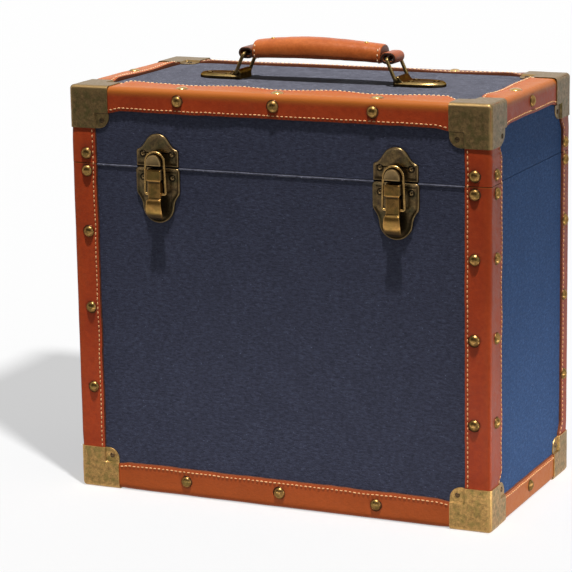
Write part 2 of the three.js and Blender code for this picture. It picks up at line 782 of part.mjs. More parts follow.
// A carrying ring: a closed wire loop from its pivot bar up to its top bar, leaning towards the grip.
function ring(sign) {
  const corner = (out, y, rise) => new THREE.Vector3(sign * out, y, topFace + rise);
  const corners = [
    corner(ringPivotOut, -ringHalf, ringPivotRise),
    corner(ringPivotOut, ringHalf, ringPivotRise),
    corner(ringTopOut, ringHalf, ringTopRise),
    corner(ringTopOut, -ringHalf, ringTopRise),
  ];
  const path = bentPath(corners, ringBend, true);
  return solid(new THREE.TubeGeometry(path, ringSteps, ringWire, wireSides, true));
}

// An end plate: a bevelled boat-shaped plate whose narrow inner end rises into the ring's knuckle.
function endPlate(sign) {
  const tip = endPlateTip - endPlateBevel;
  const half = endPlateHalf - endPlateBevel;
  const shape = new THREE.Shape();
  shape.moveTo(endPlateNeck, -half);
  shape.lineTo(endPlateStraight, -half);
  shape.bezierCurveTo((endPlateStraight + tip) / 2, -half, tip, -half / 2, tip, 0);
  shape.bezierCurveTo(tip, half / 2, (endPlateStraight + tip) / 2, half, endPlateStraight, half);
  shape.lineTo(endPlateNeck, half);
  shape.closePath();
  const bevel = {
    depth: endPlateHeight - endPlateBevel,
    bevelEnabled: true,
    bevelSegments: 1,
    bevelSize: endPlateBevel,
    bevelThickness: endPlateBevel,
    curveSegments: 8,
  };
  let plate = solid(new THREE.ExtrudeGeometry(shape, bevel));
  const far = endPlateTip + overrun;
  plate = plate.intersect(block([endPlateInner, -far, 0], [far, far, endPlateHeight]));
  const neck = block(
    [ringPivotOut, -endPlateNeckHalf, 0],
    [endPlateNeck + overrun, endPlateNeckHalf, endPlateHeight],
  );
  const barrel = new THREE.CylinderGeometry(
    knuckleRadius, knuckleRadius, 2 * endPlateNeckHalf, hingeSides,
  ).translate(ringPivotOut, 0, 0);
  const raised = solid(barrel).translate([0, 0, ringPivotRise]);
  const foot = block(
    [ringPivotOut - knuckleRadius, -endPlateNeckHalf, 0],
    [ringPivotOut + knuckleRadius, endPlateNeckHalf, ringPivotRise],
  );
  const bore = solid(
    new THREE.CylinderGeometry(ringWire + runGap, ringWire + runGap, far, hingeSides).translate(
      ringPivotOut, 0, ringPivotRise,
    ),
  );
  plate = plate.add(neck).add(foot).add(raised).subtract(bore);
  for (const y of [-1, 1]) {
    const head = dome(screwRadius, screwHeight, screwSides, endPlateBevel);
    const at = [(endPlateNeck + endPlateStraight) / 2, (y * half) / 2, endPlateHeight];
    plate = plate.add(solid(head.translate(...at)));
  }
  const last = dome(screwRadius, screwHeight, screwSides, endPlateBevel);
  plate = plate.add(solid(last.translate(endPlateScrew, 0, endPlateHeight)));
  const turned = sign > 0 ? plate : plate.rotate([0, 0, 180]);
  return turned.translate([0, 0, topFace + glueGap]);
}

// The padded grip: flat below, arched above, fuller in the middle than at its ends.
function gripBody() {
  const points = [];
  const faces = [];
  const slices = [];
  for (let i = 0; i <= gripSlices; i++) {
    const share = -Math.cos((Math.PI * i) / gripSlices);
    slices.push(share);
  }
  for (const share of slices) {
    const bow = share * share;
    const rim = Math.min(1, ((1 - Math.abs(share)) * gripHalf) / gripRimRound);
    const fill = 1 - (1 - Math.sqrt(1 - (1 - rim) ** 2)) * gripRimFillShare;
    const half = THREE.MathUtils.lerp(gripHalfWidthCentre, gripHalfWidthEnd, bow) * fill;
    const top = THREE.MathUtils.lerp(gripTopCentre, gripTopEnd, bow);
    const under = THREE.MathUtils.lerp(gripUnderCentre, gripUnderEnd, bow);
    const waist = under + (top - under) * gripWaistShare;
    for (let j = 0; j < gripSides; j++) {
      const turn = (2 * Math.PI * j) / gripSides;
      const c = Math.cos(turn);
      const s = Math.sin(turn);
      const bulge = s > 0 ? gripCrownBulge : gripSoleBulge;
      const y = half * Math.sign(c) * Math.abs(c) ** bulge;
      const reach = s > 0 ? top - waist : waist - under;
      const z = waist + reach * fill * Math.sign(s) * Math.abs(s) ** bulge;
      points.push(share * gripHalf, y, z);
    }
  }
  const count = slices.length;
  for (let i = 0; i + 1 < count; i++)
    for (let j = 0; j < gripSides; j++) {
      const k = (j + 1) % gripSides;
      const [a, b] = [i * gripSides + j, i * gripSides + k];
      const [c, d] = [a + gripSides, b + gripSides];
      faces.push(a, b, c, b, d, c);
    }
  const last = (count - 1) * gripSides;
  for (let j = 1; j + 1 < gripSides; j++) {
    faces.push(0, j + 1, j);
    faces.push(last, last + j, last + j + 1);
  }
  const geometry = new THREE.BufferGeometry();
  geometry.setAttribute("position", new THREE.BufferAttribute(new Float32Array(points), 3));
  geometry.setIndex(faces);
  return geometry;
}

// A strap end folded round a ring's top bar, with a tongue that is sewn into the grip.
function strapLoop(sign) {
  const height = loopHoleHeight + 2 * loopThickness;
  const stadium = (Kind, inset) => {
    const radius = height / 2 - inset;
    const [near, far] = [loopInner + inset + radius, loopOuter - inset - radius];
    const shape = new Kind();
    shape.absarc(far, 0, radius, -Math.PI / 2, Math.PI / 2, false);
    shape.absarc(near, 0, radius, Math.PI / 2, (3 * Math.PI) / 2, false);
    shape.closePath();
    return shape;
  };
  const outline = stadium(THREE.Shape, 0);
  outline.holes.push(stadium(THREE.Path, loopThickness));
  const options = { depth: 2 * loopHalfWidth, bevelEnabled: false, curveSegments: 7 };
  const band = new THREE.ExtrudeGeometry(outline, options)
    .rotateX(Math.PI / 2)
    .translate(0, loopHalfWidth, 0);
  const tongueHalf = loopHalfWidth - loopThickness;
  const tongue = block(
    [loopInner - loopTongue, -tongueHalf, -loopTongueThickness / 2],
    [loopInner + loopThickness / 2, tongueHalf, loopTongueThickness / 2],
  );
  const loop = solid(band).add(tongue);
  const turned = sign > 0 ? loop : loop.rotate([0, 0, 180]);
  return turned.translate([0, 0, topFace + ringTopRise]);
}

function grip() {
  let body = solid(gripBody());
  const slotHalf = loopHalfWidth - loopThickness + glueGap;
  const slotRise = loopTongueThickness / 2 + glueGap;
  const far = gripHalf + overrun;
  for (const sign of [-1, 1]) {
    const slot = block(
      [sign * (loopInner - loopTongue - glueGap), -slotHalf, ringTopRise - slotRise],
      [sign * far, slotHalf, ringTopRise + slotRise],
    );
    body = body.subtract(slot);
    const share = gripRivetOut / gripHalf;
    const crown = THREE.MathUtils.lerp(gripTopCentre, gripTopEnd, share * share);
    const rivet = dome(gripRivetRadius, gripRivetHeight, nailSides, gripRivetRadius);
    body = body.add(solid(rivet.translate(sign * gripRivetOut, 0, crown)));
  }
  return body.translate([0, 0, topFace]);
}

function addHandle() {
  for (const [side, sign] of [["left", -1], ["right", 1]]) {
    addPiece(`handle_${side}_end_plate`, "brass", endPlate(sign));
    addPiece(`handle_${side}_ring`, "brass", ring(sign));
    addPiece(`handle_${side}_strap_loop`, "leather", strapLoop(sign));
  }
  addPiece("handle_grip", "leather", grip());
}

addBoards();
addInnerLip();
addBinding();
addCaps();
addLatches();
addHinges();
addHandle();

export default part;
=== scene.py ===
import math

import bmesh
import bpy
import numpy as np
from mathutils import Matrix, Vector, noise


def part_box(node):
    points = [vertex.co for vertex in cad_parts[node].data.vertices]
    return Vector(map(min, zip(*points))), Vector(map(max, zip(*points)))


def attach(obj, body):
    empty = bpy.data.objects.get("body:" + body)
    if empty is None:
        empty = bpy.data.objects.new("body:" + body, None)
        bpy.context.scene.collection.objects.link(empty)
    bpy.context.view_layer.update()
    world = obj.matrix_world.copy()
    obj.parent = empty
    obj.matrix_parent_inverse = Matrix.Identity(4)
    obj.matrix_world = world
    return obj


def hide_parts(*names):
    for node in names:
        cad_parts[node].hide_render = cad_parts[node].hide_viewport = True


mm = 0.001
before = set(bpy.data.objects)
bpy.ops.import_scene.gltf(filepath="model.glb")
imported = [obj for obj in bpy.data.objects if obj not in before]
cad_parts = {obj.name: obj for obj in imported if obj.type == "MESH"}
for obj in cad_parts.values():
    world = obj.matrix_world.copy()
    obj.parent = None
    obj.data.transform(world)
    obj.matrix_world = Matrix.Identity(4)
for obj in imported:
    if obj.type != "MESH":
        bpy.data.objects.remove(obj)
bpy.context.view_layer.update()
scene = bpy.context.scene

# The case's planes and levels, read from the frame
boardLow = Vector((
    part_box("body_left_board")[0].x,
    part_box("body_front_board")[0].y,
    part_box("body_bottom_board")[0].z,
))
boardHigh = Vector((
    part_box("lid_right_board")[1].x,
    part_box("lid_back_board")[1].y,
    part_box("lid_top_board")[1].z,
))
bodyRim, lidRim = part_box("body_front_board")[1].z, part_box("lid_front_board")[0].z
capBox, bindBox, pinBox = (
    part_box(name) for name in ("top_front_left_corner_cap", "bottom_front_binding", "latch_right_pin")
)
seam = (bodyRim + lidRim) / 2
seamGap = lidRim - bodyRim
capLevel = capBox[1].z - boardHigh.z
capReach = capBox[1].z - capBox[0].z
bindLevel = boardLow.z - bindBox[0].z
flange = bindBox[1].z - bindBox[0].z - bindLevel
latchOut = pinBox[0].x / 2 + pinBox[1].x / 2
topFace = boardHigh.z


# Mesh building

# Gathers points and faces for one piece.
class Builder:
    def __init__(self):
        self.points, self.faces, self.slots, self.wear, self.grime = [], [], [], [], []

    # Wear and highlight, and grime and shade, are one value for all these points, or a list with one for
    # each. Besides real wear and grime, they carry painted highlights and painted shade.
    def add(self, points, faces, slot=0, place=None, wear=0.0, grime=0.0):
        start, count = len(self.points), len(points)
        if place is not None:
            points = [place @ Vector(p) for p in points]
        self.points += [tuple(p) for p in points]
        self.faces += [tuple(start + i for i in face) for face in faces]
        self.slots += [slot] * len(faces)
        self.wear += wear if isinstance(wear, list) else [wear] * count
        self.grime += grime if isinstance(grime, list) else [grime] * count


# Rows of points, whose columns close on themselves, and whose last row can join the first.
def gridFaces(rows, columns, closed=False, ringed=False):
    faces = []
    for i in range(rows if ringed else rows - 1):
        low, high = i * columns, (i + 1) % rows * columns
        for j in range(columns if closed else columns - 1):
            k = (j + 1) % columns
            faces.append((low + j, low + k, high + k, high + j))
    return faces


def loft(rings):
    columns = len(rings[0])
    last = (len(rings) - 1) * columns
    faces = gridFaces(len(rings), columns, True)
    faces += [tuple(range(columns))[::-1], tuple(range(last, last + columns))]
    return [p for ring in rings for p in ring], faces


def lathe(profile, sides):
    turns = [2 * math.pi * k / sides for k in range(sides)]
    return loft([[(r * math.cos(turn), r * math.sin(turn), h) for turn in turns] for r, h in profile])


def circle(centre, first, second, radius, sides):
    turns = [2 * math.pi * k / sides for k in range(sides)]
    return [centre + radius * (math.cos(turn) * first + math.sin(turn) * second) for turn in turns]


def tube(path, radius, sides):
    path = [Vector(p) for p in path]
    afters, befores = path[1:] + path[-1:], path[:1] + path[:-1]
    tangents = [(after - before).normalized() for after, before in zip(afters, befores)]
    side = tangents[0].orthogonal().normalized()
    rings = []
    for p, tangent in zip(path, tangents):
        side = (side - tangent * side.dot(tangent)).normalized()
        rings.append(circle(p, side, tangent.cross(side), radius, sides))
    return loft(rings)


# A tube round a flat loop.
def closedTube(path, radius, sides):
    path = [Vector(p) for p in path]
    count = len(path)
    normal = (path[1] - path[0]).cross(path[count // 3] - path[0]).normalized()
    points = []
    for i, p in enumerate(path):
        tangent = (path[(i + 1) % count] - path[i - 1]).normalized()
        points += circle(p, normal, tangent.cross(normal).normalized(), radius, sides)
    return points, gridFaces(count, sides, True, True)


def bezier(p0, p1, p2, p3, steps):
    found = []
    for i in range(1, steps + 1):
        t = i / steps
        u = 1 - t
        weights = (u ** 3, 3 * u * u * t, 3 * u * t * t, t ** 3)
        found.append(tuple(sum(w * p[k] for w, p in zip(weights, (p0, p1, p2, p3))) for k in range(len(p0))))
    return found


def mirroredOutline(half):
    return half + [(-x, z) for x, z in reversed(half) if abs(x) > 0.01 * mm]


# Moves a closed outline inwards, with its sharp corners held back.
def inset(outline, distance):
    count = len(outline)
    moved = []
    for i in range(count):
        a, b, c = (Vector(outline[(i + k) % count]) for k in (-1, 0, 1))
        first = (b - a).normalized()
        second = (c - b).normalized()
        square = Vector((-first.y, first.x))
        normal = Vector((-first.y - second.y, first.x + second.x))
        if normal.length < 1e-6:
            normal = square.copy()
        normal.normalize()
        moved.append(tuple(b + normal * (distance / max(0.5, normal.dot(square)))))
    return moved


# Presses a sheet to a profile: levels are (inset, height, wear and highlight, grime and shade) from the edge
# inwards.
def stamp(builder, outline, levels, toPoint):
    area = sum(a[0] * b[1] - b[0] * a[1] for a, b in zip(outline, outline[1:] + outline[:1]))
    if area < 0:
        outline = outline[::-1]
    rings = [[toPoint(x, z, level[1]) for x, z in inset(outline, level[0])] for level in levels]
    wear = [level[2] for level in levels for _ in outline]
    grime = [level[3] for level in levels for _ in outline]
    builder.add(*loft(rings), wear=wear, grime=grime)


# A plate with eased edges.
def slab(builder, outline, low, high, toPoint, edge=0.25 * mm, wear=0.0, grime=0.0):
    levels = [
        (edge, low, wear, grime), (0, low + edge, wear + 0.4, grime),
        (0, high - edge, wear + 0.4, grime), (edge, high, wear, grime),
    ]
    stamp(builder, outline, levels, toPoint)


def smoothStep(value, low, high):
    t = min(1.0, max(0.0, (value - low) / (high - low)))
    return t * t * (3 - 2 * t)


# Rises from low to full, stays, and falls again from late to gone.
def plateau(value, low, full, late, gone):
    return smoothStep(value, low, full) * (1 - smoothStep(value, late, gone))


def peak(value, width):
    return math.exp(-((value / width) ** 2))


# A power that keeps the sign, which squares off a round section.
def squared(value, power):
    return math.copysign(abs(value) ** power, value)


# One piece of the scene. Edges sharper than this many degrees stay sharp.
def addPiece(name, builder, lookNames, body, replaces=(), sharp=38, weld=0.0):
    mesh = bpy.data.meshes.new(name)
    mesh.from_pydata(builder.points, [], builder.faces)
    for lookName in lookNames:
        mesh.materials.append(looks[lookName])
    mesh.polygons.foreach_set("material_index", builder.slots)
    mesh.polygons.foreach_set("use_smooth", [True] * len(builder.faces))
    for key, values in (("wear", builder.wear), ("grime", builder.grime)):
        mesh.attributes.new(key, "FLOAT", "POINT").data.foreach_set("value", values)
    work = bmesh.new()
    work.from_mesh(mesh)
    if weld:
        bmesh.ops.remove_doubles(work, verts=work.verts, dist=weld)
    bmesh.ops.recalc_face_normals(work, faces=work.faces)
    work.to_mesh(mesh)
    work.free()
    mesh.set_sharp_from_angle(angle=math.radians(sharp))
    piece = bpy.data.objects.new(name, mesh)
    scene.collection.objects.link(piece)
    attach(piece, body)
    if replaces:
        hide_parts(*replaces)
    return piece


# A metal piece in place of a CAD node.
def addMetal(node, kind, builder, look, body, sharp):
    addPiece(f"{node}_{kind}", builder, [look], body, [node], sharp)


# Node trees

# Adds nodes to a tree. What feeds an input is a plain value or another node's output.
class Graph:
    def __init__(self, tree):
        self.tree = tree

    def feed(self, socket, value):
        if isinstance(value, bpy.types.NodeSocket):
            self.tree.links.new(value, socket)
        else:
            socket.default_value = value

    def add(self, kind, inputs=None, **settings):
        node = self.tree.nodes.new(kind)
        for key, value in settings.items():
            setattr(node, key, value)
        for key, value in (inputs or {}).items():
            self.feed(node.inputs[key], value)
        return node.outputs


# Materials

# One procedural material, built node by node.
class Look(Graph):
    def __init__(self, name, **settings):
        self.material = bpy.data.materials.new(name)
        self.material.use_nodes = True
        super().__init__(self.material.node_tree)
        self.shader = self.tree.nodes["Principled BSDF"].inputs
        for key, value in settings.items():
            self.shader[key.replace("_", " ")].default_value = value
        self.coords = self.add("ShaderNodeTexCoord")["Object"]

    def scaled(self, scale):
        return self.add("ShaderNodeMapping", {"Vector": self.coords, "Scale": scale})["Vector"]

    def noise(self, size, detail=3, roughness=0.5, vector=None, distortion=0.0):
        return self.add("ShaderNodeTexNoise", {
            "Vector": vector or self.coords,
            "Scale": 1 / size,
            "Detail": detail,
            "Roughness": roughness,
            "Distortion": distortion,
        })["Fac"]

    def cells(self, size, vector=None):
        inputs = {"Vector": vector or self.coords, "Scale": 1 / size}
        return self.add("ShaderNodeTexVoronoi", inputs)["Distance"]

    def attribute(self, name):
        return self.add("ShaderNodeAttribute", attribute_name=name)["Fac"]

    # Greys between two stops, each given as (place, grey).
    def ramp(self, value, low, high):
        node = self.tree.nodes.new("ShaderNodeValToRGB")
        for element, (place, grey) in zip(node.color_ramp.elements, (low, high)):
            element.position = place
            element.color = (grey, grey, grey, 1)
        self.feed(node.inputs["Fac"], value)
        return node.outputs["Color"]

    def mix(self, factor, a, b):
        a, b = (v if isinstance(v, bpy.types.NodeSocket) else (*v, 1) for v in (a, b))
        return self.add("ShaderNodeMix", {0: factor, 6: a, 7: b}, data_type="RGBA")[2]

    # Lays coats over a ground colour, each given as (mask, tone).
    def coats(self, ground, *layers):
        for mask, tone in layers:
            ground = self.mix(mask, ground, tone)
        return ground

    def math(self, kind, a, b=0.0):
        return self.add("ShaderNodeMath", {0: a, 1: b}, operation=kind)[0]

    def place(self, axis):
        return self.add("ShaderNodeSeparateXYZ", {"Vector": self.coords})[axis]

    # 1 where the surface lies deeper than this inside the case's covered boards, else 0.
    def inside(self, depth):
        whole = 1.0
        for axis in range(3):
            middle = (boardLow[axis] + boardHigh[axis]) / 2
            reach = (boardHigh[axis] - boardLow[axis]) / 2 - depth
            away = self.math("ABSOLUTE", self.math("SUBTRACT", self.place(axis), middle))
            whole = self.math("MULTIPLY", self.math("LESS_THAN", away, reach), whole)
        return whole

    def bump(self, height, distance, strength=1.0, below=None):
        inputs = {"Height": height, "Distance": distance, "Strength": strength}
        if below is not None:
            inputs["Normal"] = below
        return self.add("ShaderNodeBump", inputs)["Normal"]

    def finish(self, colour, roughness, normal):
        for key, value in (("Base Color", colour), ("Roughness", roughness), ("Normal", normal)):
            self.feed(self.shader[key], value)
        return self.material


def times(tone, factor):
    return tuple(min(1.0, factor * value) for value in tone)


liningTones = ((0.02, 0.018, 0.016), (0.06, 0.052, 0.045))


# The case's inside, deeper than the leatherette's turn over the edge, is lined with dark paper.
def leatheretteLook(name, streak, deepTone, paleTone, gloss, fleck, fuzz=0.0):
    look = Look(name, Specular_IOR_Level=gloss, Sheen_Weight=fuzz, Sheen_Roughness=0.5)
    stretched = look.scaled(streak)
    weave = look.noise(1.8 * mm, 6, 0.8, stretched)
    dashes = look.noise(2.4 * mm, 3, 0.7, stretched)
    specks = look.noise(1.7 * mm, 2, 0.5)
    broad = look.noise(24 * mm, 4, 0.6)
    colour = look.coats(
        deepTone,
        (look.ramp(weave, (0.36, 0.0), (0.66, 1.0)), paleTone),
        (look.ramp(dashes, (0.53, 0.0), (0.7, 0.42)), times(paleTone, 1.5)),
        (look.ramp(specks, (0.67, 0.0), (0.75, fleck)), tuple(3 * v + 0.02 for v in paleTone)),
        (look.ramp(broad, (0.35, 0.0), (0.7, 0.3)), deepTone),
        (look.inside(1.6 * mm), look.mix(broad, *liningTones)),
    )
    roughness = look.ramp(look.noise(3 * mm, 4), (0.3, 0.5), (0.7, 0.68))
    pores = look.bump(look.cells(1.2 * mm, stretched), 0.25 * mm, 0.5)
    return look.finish(colour, roughness, look.bump(weave, 0.7 * mm, 0.9, pores))


def bindingLook(name):
    look = Look(name, Specular_IOR_Level=0.16)
    broad = look.noise(38 * mm, 4, 0.6)
    fine = look.noise(4 * mm, 5, 0.65)
    rubbed = look.noise(7 * mm, 4, 0.7)
    colour = look.coats(
        (0.34, 0.04, 0.009),
        (look.ramp(broad, (0.3, 0.0), (0.7, 1.0)), (0.45, 0.062, 0.014)),
        (look.ramp(fine, (0.35, 0.4), (0.62, 0.0)), (0.24, 0.028, 0.007)),
        # Wear lightens the leather, as real wear and as painted highlight; grime darkens it, as dirt round
        # the tacks and as painted shade.
        (look.math("MULTIPLY", look.attribute("wear"), 0.92), (0.41, 0.12, 0.02)),
        (look.ramp(rubbed, (0.55, 0.0), (0.75, 0.3)), (0.42, 0.09, 0.025)),
        (look.attribute("grime"), (0.07, 0.016, 0.007)),
    )
    relief = look.bump(fine, 0.5 * mm, 0.35, look.bump(look.cells(1.3 * mm), 0.15 * mm, 0.4))
    return look.finish(colour, look.ramp(fine, (0.3, 0.36), (0.75, 0.54)), relief)


# Bare fibres, as on leather's cut edge and on paper.
def fibreLook(name, size, detail, gloss, tones, dull, relief):
    look = Look(name, Specular_IOR_Level=gloss)
    fibre = look.noise(size, detail)
    return look.finish(look.mix(fibre, *tones), look.ramp(fibre, *dull), look.bump(fibre, 0.2 * mm, relief))


# The thread is paler on the case's top.
def threadLook(name):
    look = Look(name, Specular_IOR_Level=0.3)
    twist = look.noise(0.6 * mm, 2)
    usual = look.mix(twist, (0.52, 0.26, 0.11), (0.8, 0.46, 0.22))
    paleOnTop = look.mix(twist, (0.8, 0.5, 0.27), (1, 0.78, 0.5))
    colour = look.mix(look.math("GREATER_THAN", look.place("Z"), boardHigh.z), usual, paleOnTop)
    return look.finish(colour, look.ramp(twist, (0.3, 0.55), (0.7, 0.75)), look.bump(twist, 0.1 * mm, 0.6))


def metalLook(name, bright, dark, patina, amount=0.5, dull=0.45, spot=6 * mm, edgeTint=(1, 1, 1, 1)):
    look = Look(name, Metallic=1.0, Specular_Tint=edgeTint)
    blotch = look.noise(spot, 5, 0.68, distortion=0.2)
    fine = look.noise(1.3 * mm, 4, 0.6)
    green = look.noise(1.7 * spot, 3)
    colour = look.coats(
        bright,
        (look.ramp(blotch, (0.5 - amount / 4, 1.0), (0.5 + amount / 4, 0.0)), dark),
        (look.ramp(green, (0.45, 0.0), (0.65, 0.6)), tuple(v * k for v, k in zip(dark, (0.8, 1.15, 0.9)))),
        (look.ramp(fine, (0.52, 0.0), (0.75, amount)), patina),
        # Grime and shade darken towards the patina, as patina in hollows and as painted shade; wear and
        # highlight lighten, as worn metal and as painted highlights.
        (look.attribute("grime"), patina),
        (look.attribute("wear"), times(bright, 1.9)),
    )
    relief = look.bump(blotch, 0.25 * mm, 0.35, look.bump(fine, 0.08 * mm, 0.5))
    return look.finish(colour, look.ramp(blotch, (0.3, dull), (0.7, dull - 0.14)), relief)


def handleLook(name, deepTone, paleTone):
    look = Look(name, Specular_IOR_Level=0.18)
    broad = look.noise(24 * mm, 4, 0.55, look.scaled((0.5, 1, 1)))
    fine = look.noise(2.2 * mm, 5, 0.6)
    colour = look.coats(
        deepTone,
        (look.ramp(broad, (0.35, 0.0), (0.65, 1.0)), paleTone),
        (look.ramp(fine, (0.4, 0.25), (0.62, 0.0)), times(deepTone, 0.6)),
        # Grime and shade darken the grip's ends and the strap's edges, and the whole left loop as painted
        # shade.
        (look.attribute("grime"), (0.045, 0.022, 0.014)),
    )
    relief = look.bump(fine, 0.15 * mm, 0.3, look.bump(look.cells(0.9 * mm), 0.08 * mm, 0.3))
    return look.finish(colour, look.ramp(fine, (0.3, 0.3), (0.7, 0.45)), relief)


# Leatherette: streak, deep and pale tone, gloss, flecks and fuzz
leatherettes = {
    "front": ("leatheretteAcross", (0.4, 1, 1), (0.014, 0.016, 0.033), (0.052, 0.059, 0.102), 0.2, 0.7),
    # The side copy is bluer than the front's: a painted bluish light on the side faces.
    "side": ("leatheretteAlong", (1, 0.45, 1), (0.028, 0.056, 0.132), (0.056, 0.11, 0.245), 0.02, 0.2),
    # The top copy is paler than the front's: a painted sheen from above.
    "top": ("leatheretteTop", (0.4, 1, 1), (0.03, 0.032, 0.052), (0.15, 0.157, 0.21), 0.0, 0.7, 0.28),
}
# Metals: bright tone, dark tone and patina, then how much patina, how dull, and how wide its spots
spots = 3 * mm
metals = {
    "tack": ("tackBrass", (0.32, 0.18, 0.055), (0.13, 0.07, 0.024), (0.05, 0.022, 0.012), 0.4, 0.4, spots,
             (0.95, 0.8, 0.6, 1)),
    # The top tacks are a brighter copy of the tack brass, a painted highlight from above.
    "crownTack": ("crownBrass", (0.72, 0.46, 0.17), (0.42, 0.25, 0.09), (0.12, 0.08, 0.04), 0.3, 0.34, spots),
    # The caps are one metal in two copies: the top caps' darker, painted shade, and the bottom caps'
    # brighter, painted light from below.
    "bronze": ("capBronze", (0.2, 0.13, 0.055), (0.09, 0.058, 0.026), (0.045, 0.03, 0.016), 0.7, 0.5, spots),
    "brass": ("capBrass", (0.44, 0.26, 0.09), (0.17, 0.1, 0.036), (0.09, 0.055, 0.028), 0.7, 0.48, spots),
    "latch": ("latchBrass", (0.175, 0.115, 0.05), (0.058, 0.04, 0.024), (0.012, 0.009, 0.006), 0.6, 0.4,
              5 * mm),
    "bail": ("bailBrass", (0.29, 0.175, 0.06), (0.14, 0.085, 0.032), (0.03, 0.018, 0.008), 0.5, 0.36),
    "lever": ("leverBrass", (0.34, 0.18, 0.05), (0.16, 0.09, 0.028), (0.03, 0.018, 0.008), 0.5, 0.4),
    "fitting": ("handleBronze", (0.25, 0.17, 0.065), (0.08, 0.052, 0.026), (0.016, 0.01, 0.007), 0.8, 0.42,
                spots, (0.35, 0.25, 0.12, 1)),
    "steel": ("pinSteel", (0.4, 0.37, 0.32), (0.2, 0.18, 0.15), (0.06, 0.05, 0.04), 0.5, 0.4, spots),
}
# The cut edges' tones are dark, a painted shade along the leather's edge.
shadedCutTones = ((0.06, 0.016, 0.007), (0.2, 0.06, 0.025))
looks = {
    "binding": bindingLook("bindingLeather"),
    "edge": fibreLook("leatherEdge", 1.2 * mm, 4, 0.15, shadedCutTones, ((0.2, 0.7), (0.8, 0.9)), 0.5),
    "thread": threadLook("waxedThread"),
    "handle": handleLook("handleLeather", (0.36, 0.075, 0.015), (0.5, 0.135, 0.033)),
    "strap": handleLook("strapLeather", (0.26, 0.06, 0.015), (0.42, 0.1, 0.028)),
    "lining": fibreLook("paperLining", 4 * mm, 5, 0.2, liningTones, ((0.3, 0.8), (0.7, 0.95)), 0.4),
}
looks.update({key: leatheretteLook(*values) for key, values in leatherettes.items()})
looks.update({key: metalLook(*values) for key, values in metals.items()})
print("materials", len(looks))


# Boards, hinges and lining keep their CAD meshes

def dressBoards():
    for name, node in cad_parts.items():
        look = None
        if name.endswith("_board"):
            # The side boards wear the bluer copy, painted bluish light, and the top board the paler copy,
            # painted sheen.
            look = "side" if "left" in name or "right" in name else "top" if "top" in name else "front"
            eased = node.modifiers.new("easedEdges", "BEVEL")
            eased.width = 1.1 * mm
            eased.segments = 3
            eased.limit_method = "ANGLE"
        elif name.endswith("_pin"):
            look = "steel"
        elif name.startswith("hinge_"):
            look = "latch"
        elif name == "inner_lip":
            look = "lining"
        if look:
            node.data.materials.clear()
            node.data.materials.append(looks[look])


# Leather binding

bindingSize = {
    "arris": {"top": 2.6 * mm, "bottom": 2 * mm, "upright": 1 * mm},
    # How much each kind of strip is lightened from its arris, and how far that fades: wear, and a painted
    # highlight, strongest on the top strips and the bottom side strips, and widest on the bottom strips.
    "wornAndLit": {"top": 1.0, "bottom": 0.45, "upright": 0.08, "foot": 1.0},
    "fade": {"top": 6.5 * mm, "bottom": 60 * mm, "upright": 6.5 * mm},
    "fadeOver": 40 * mm,
    # Painted shade on the leather of the side faces, deepest near the back.
    "shade": {"top_right": 0.2, "upright": 0.26, "back": 0.4},
    "sunk": {"top_back_binding": 0.9 * mm},
    # The top back strip is darker all over.
    "darkening": {"top_back_binding": 0.72},
    "step": 2.2 * mm,
    "flangeSteps": 9,
    "arrisSteps": 5,
    "lip": [(0.35 * mm, 0.0), (0.4 * mm, 0.55), (0, 0.92)],  # past the edge, and the share of the height
    "inner": 0.02 * mm,
    "wave": 0.55 * mm,
    "billow": 1.5 * mm,
    "billowReach": 26 * mm,
    "edgeWander": 0.6 * mm,
    "lift": 0.3 * mm,
    "dip": 0.45 * mm,
    "dipReach": 6 * mm,
    # A dark ring round each tack: dirt and painted shadow.
    "tackDirtAndShadow": 0.6,
    "stitchInset": 2.3 * mm,
    "tackInset": {
        "top": 7.8 * mm, "bottom": 10.5 * mm, "upright": 11.6 * mm, "crown": 8 * mm, "back_side": 9.2 * mm,
    },
    # how far each flange reaches over its board, where it isn't the usual width
    "reach": {
        "top_front_binding": (17.4 * mm, 24.4 * mm),
        "top_back_binding": (17.8 * mm, 17 * mm),
        "top_left_binding": (17.8 * mm, 19.6 * mm),
        "top_right_binding": (17.8 * mm, 19.6 * mm),
        "bottom_front_binding": (21.2 * mm, 19.6 * mm),
        "front_left_binding": (20 * mm, 21 * mm),
        "front_right_binding": (19.4 * mm, 23.8 * mm),
        "back_left_binding": (19.6 * mm, 14.2 * mm),
        "back_right_binding": (19.6 * mm, 14.2 * mm),
    },
}
tackSize = {"radius": 4.75 * mm, "height": 3.1 * mm, "sink": 0.5 * mm, "sides": 24, "crownRise": 0.6}
longTacks = [-84.5 * mm, 0, 84.5 * mm]
bodyTacks = [seam - drop * mm for drop in (6.5, 57.4, 121, 189)]
lidTacks = [seam + 8 * mm]
rightCrownTack = -12 * mm
frontBack = (("front", -1), ("back", 1))
leftRight = (("left", -1), ("right", 1))
topBottom = (("top", 1, "lid"), ("bottom", -1, "body"))


def facePlane(axis, sign, level):
    return (boardHigh if sign > 0 else boardLow)[axis] + sign * level


def unit(axis, sign=1):
    vector = Vector((0, 0, 0))
    vector[axis] = sign
    return vector


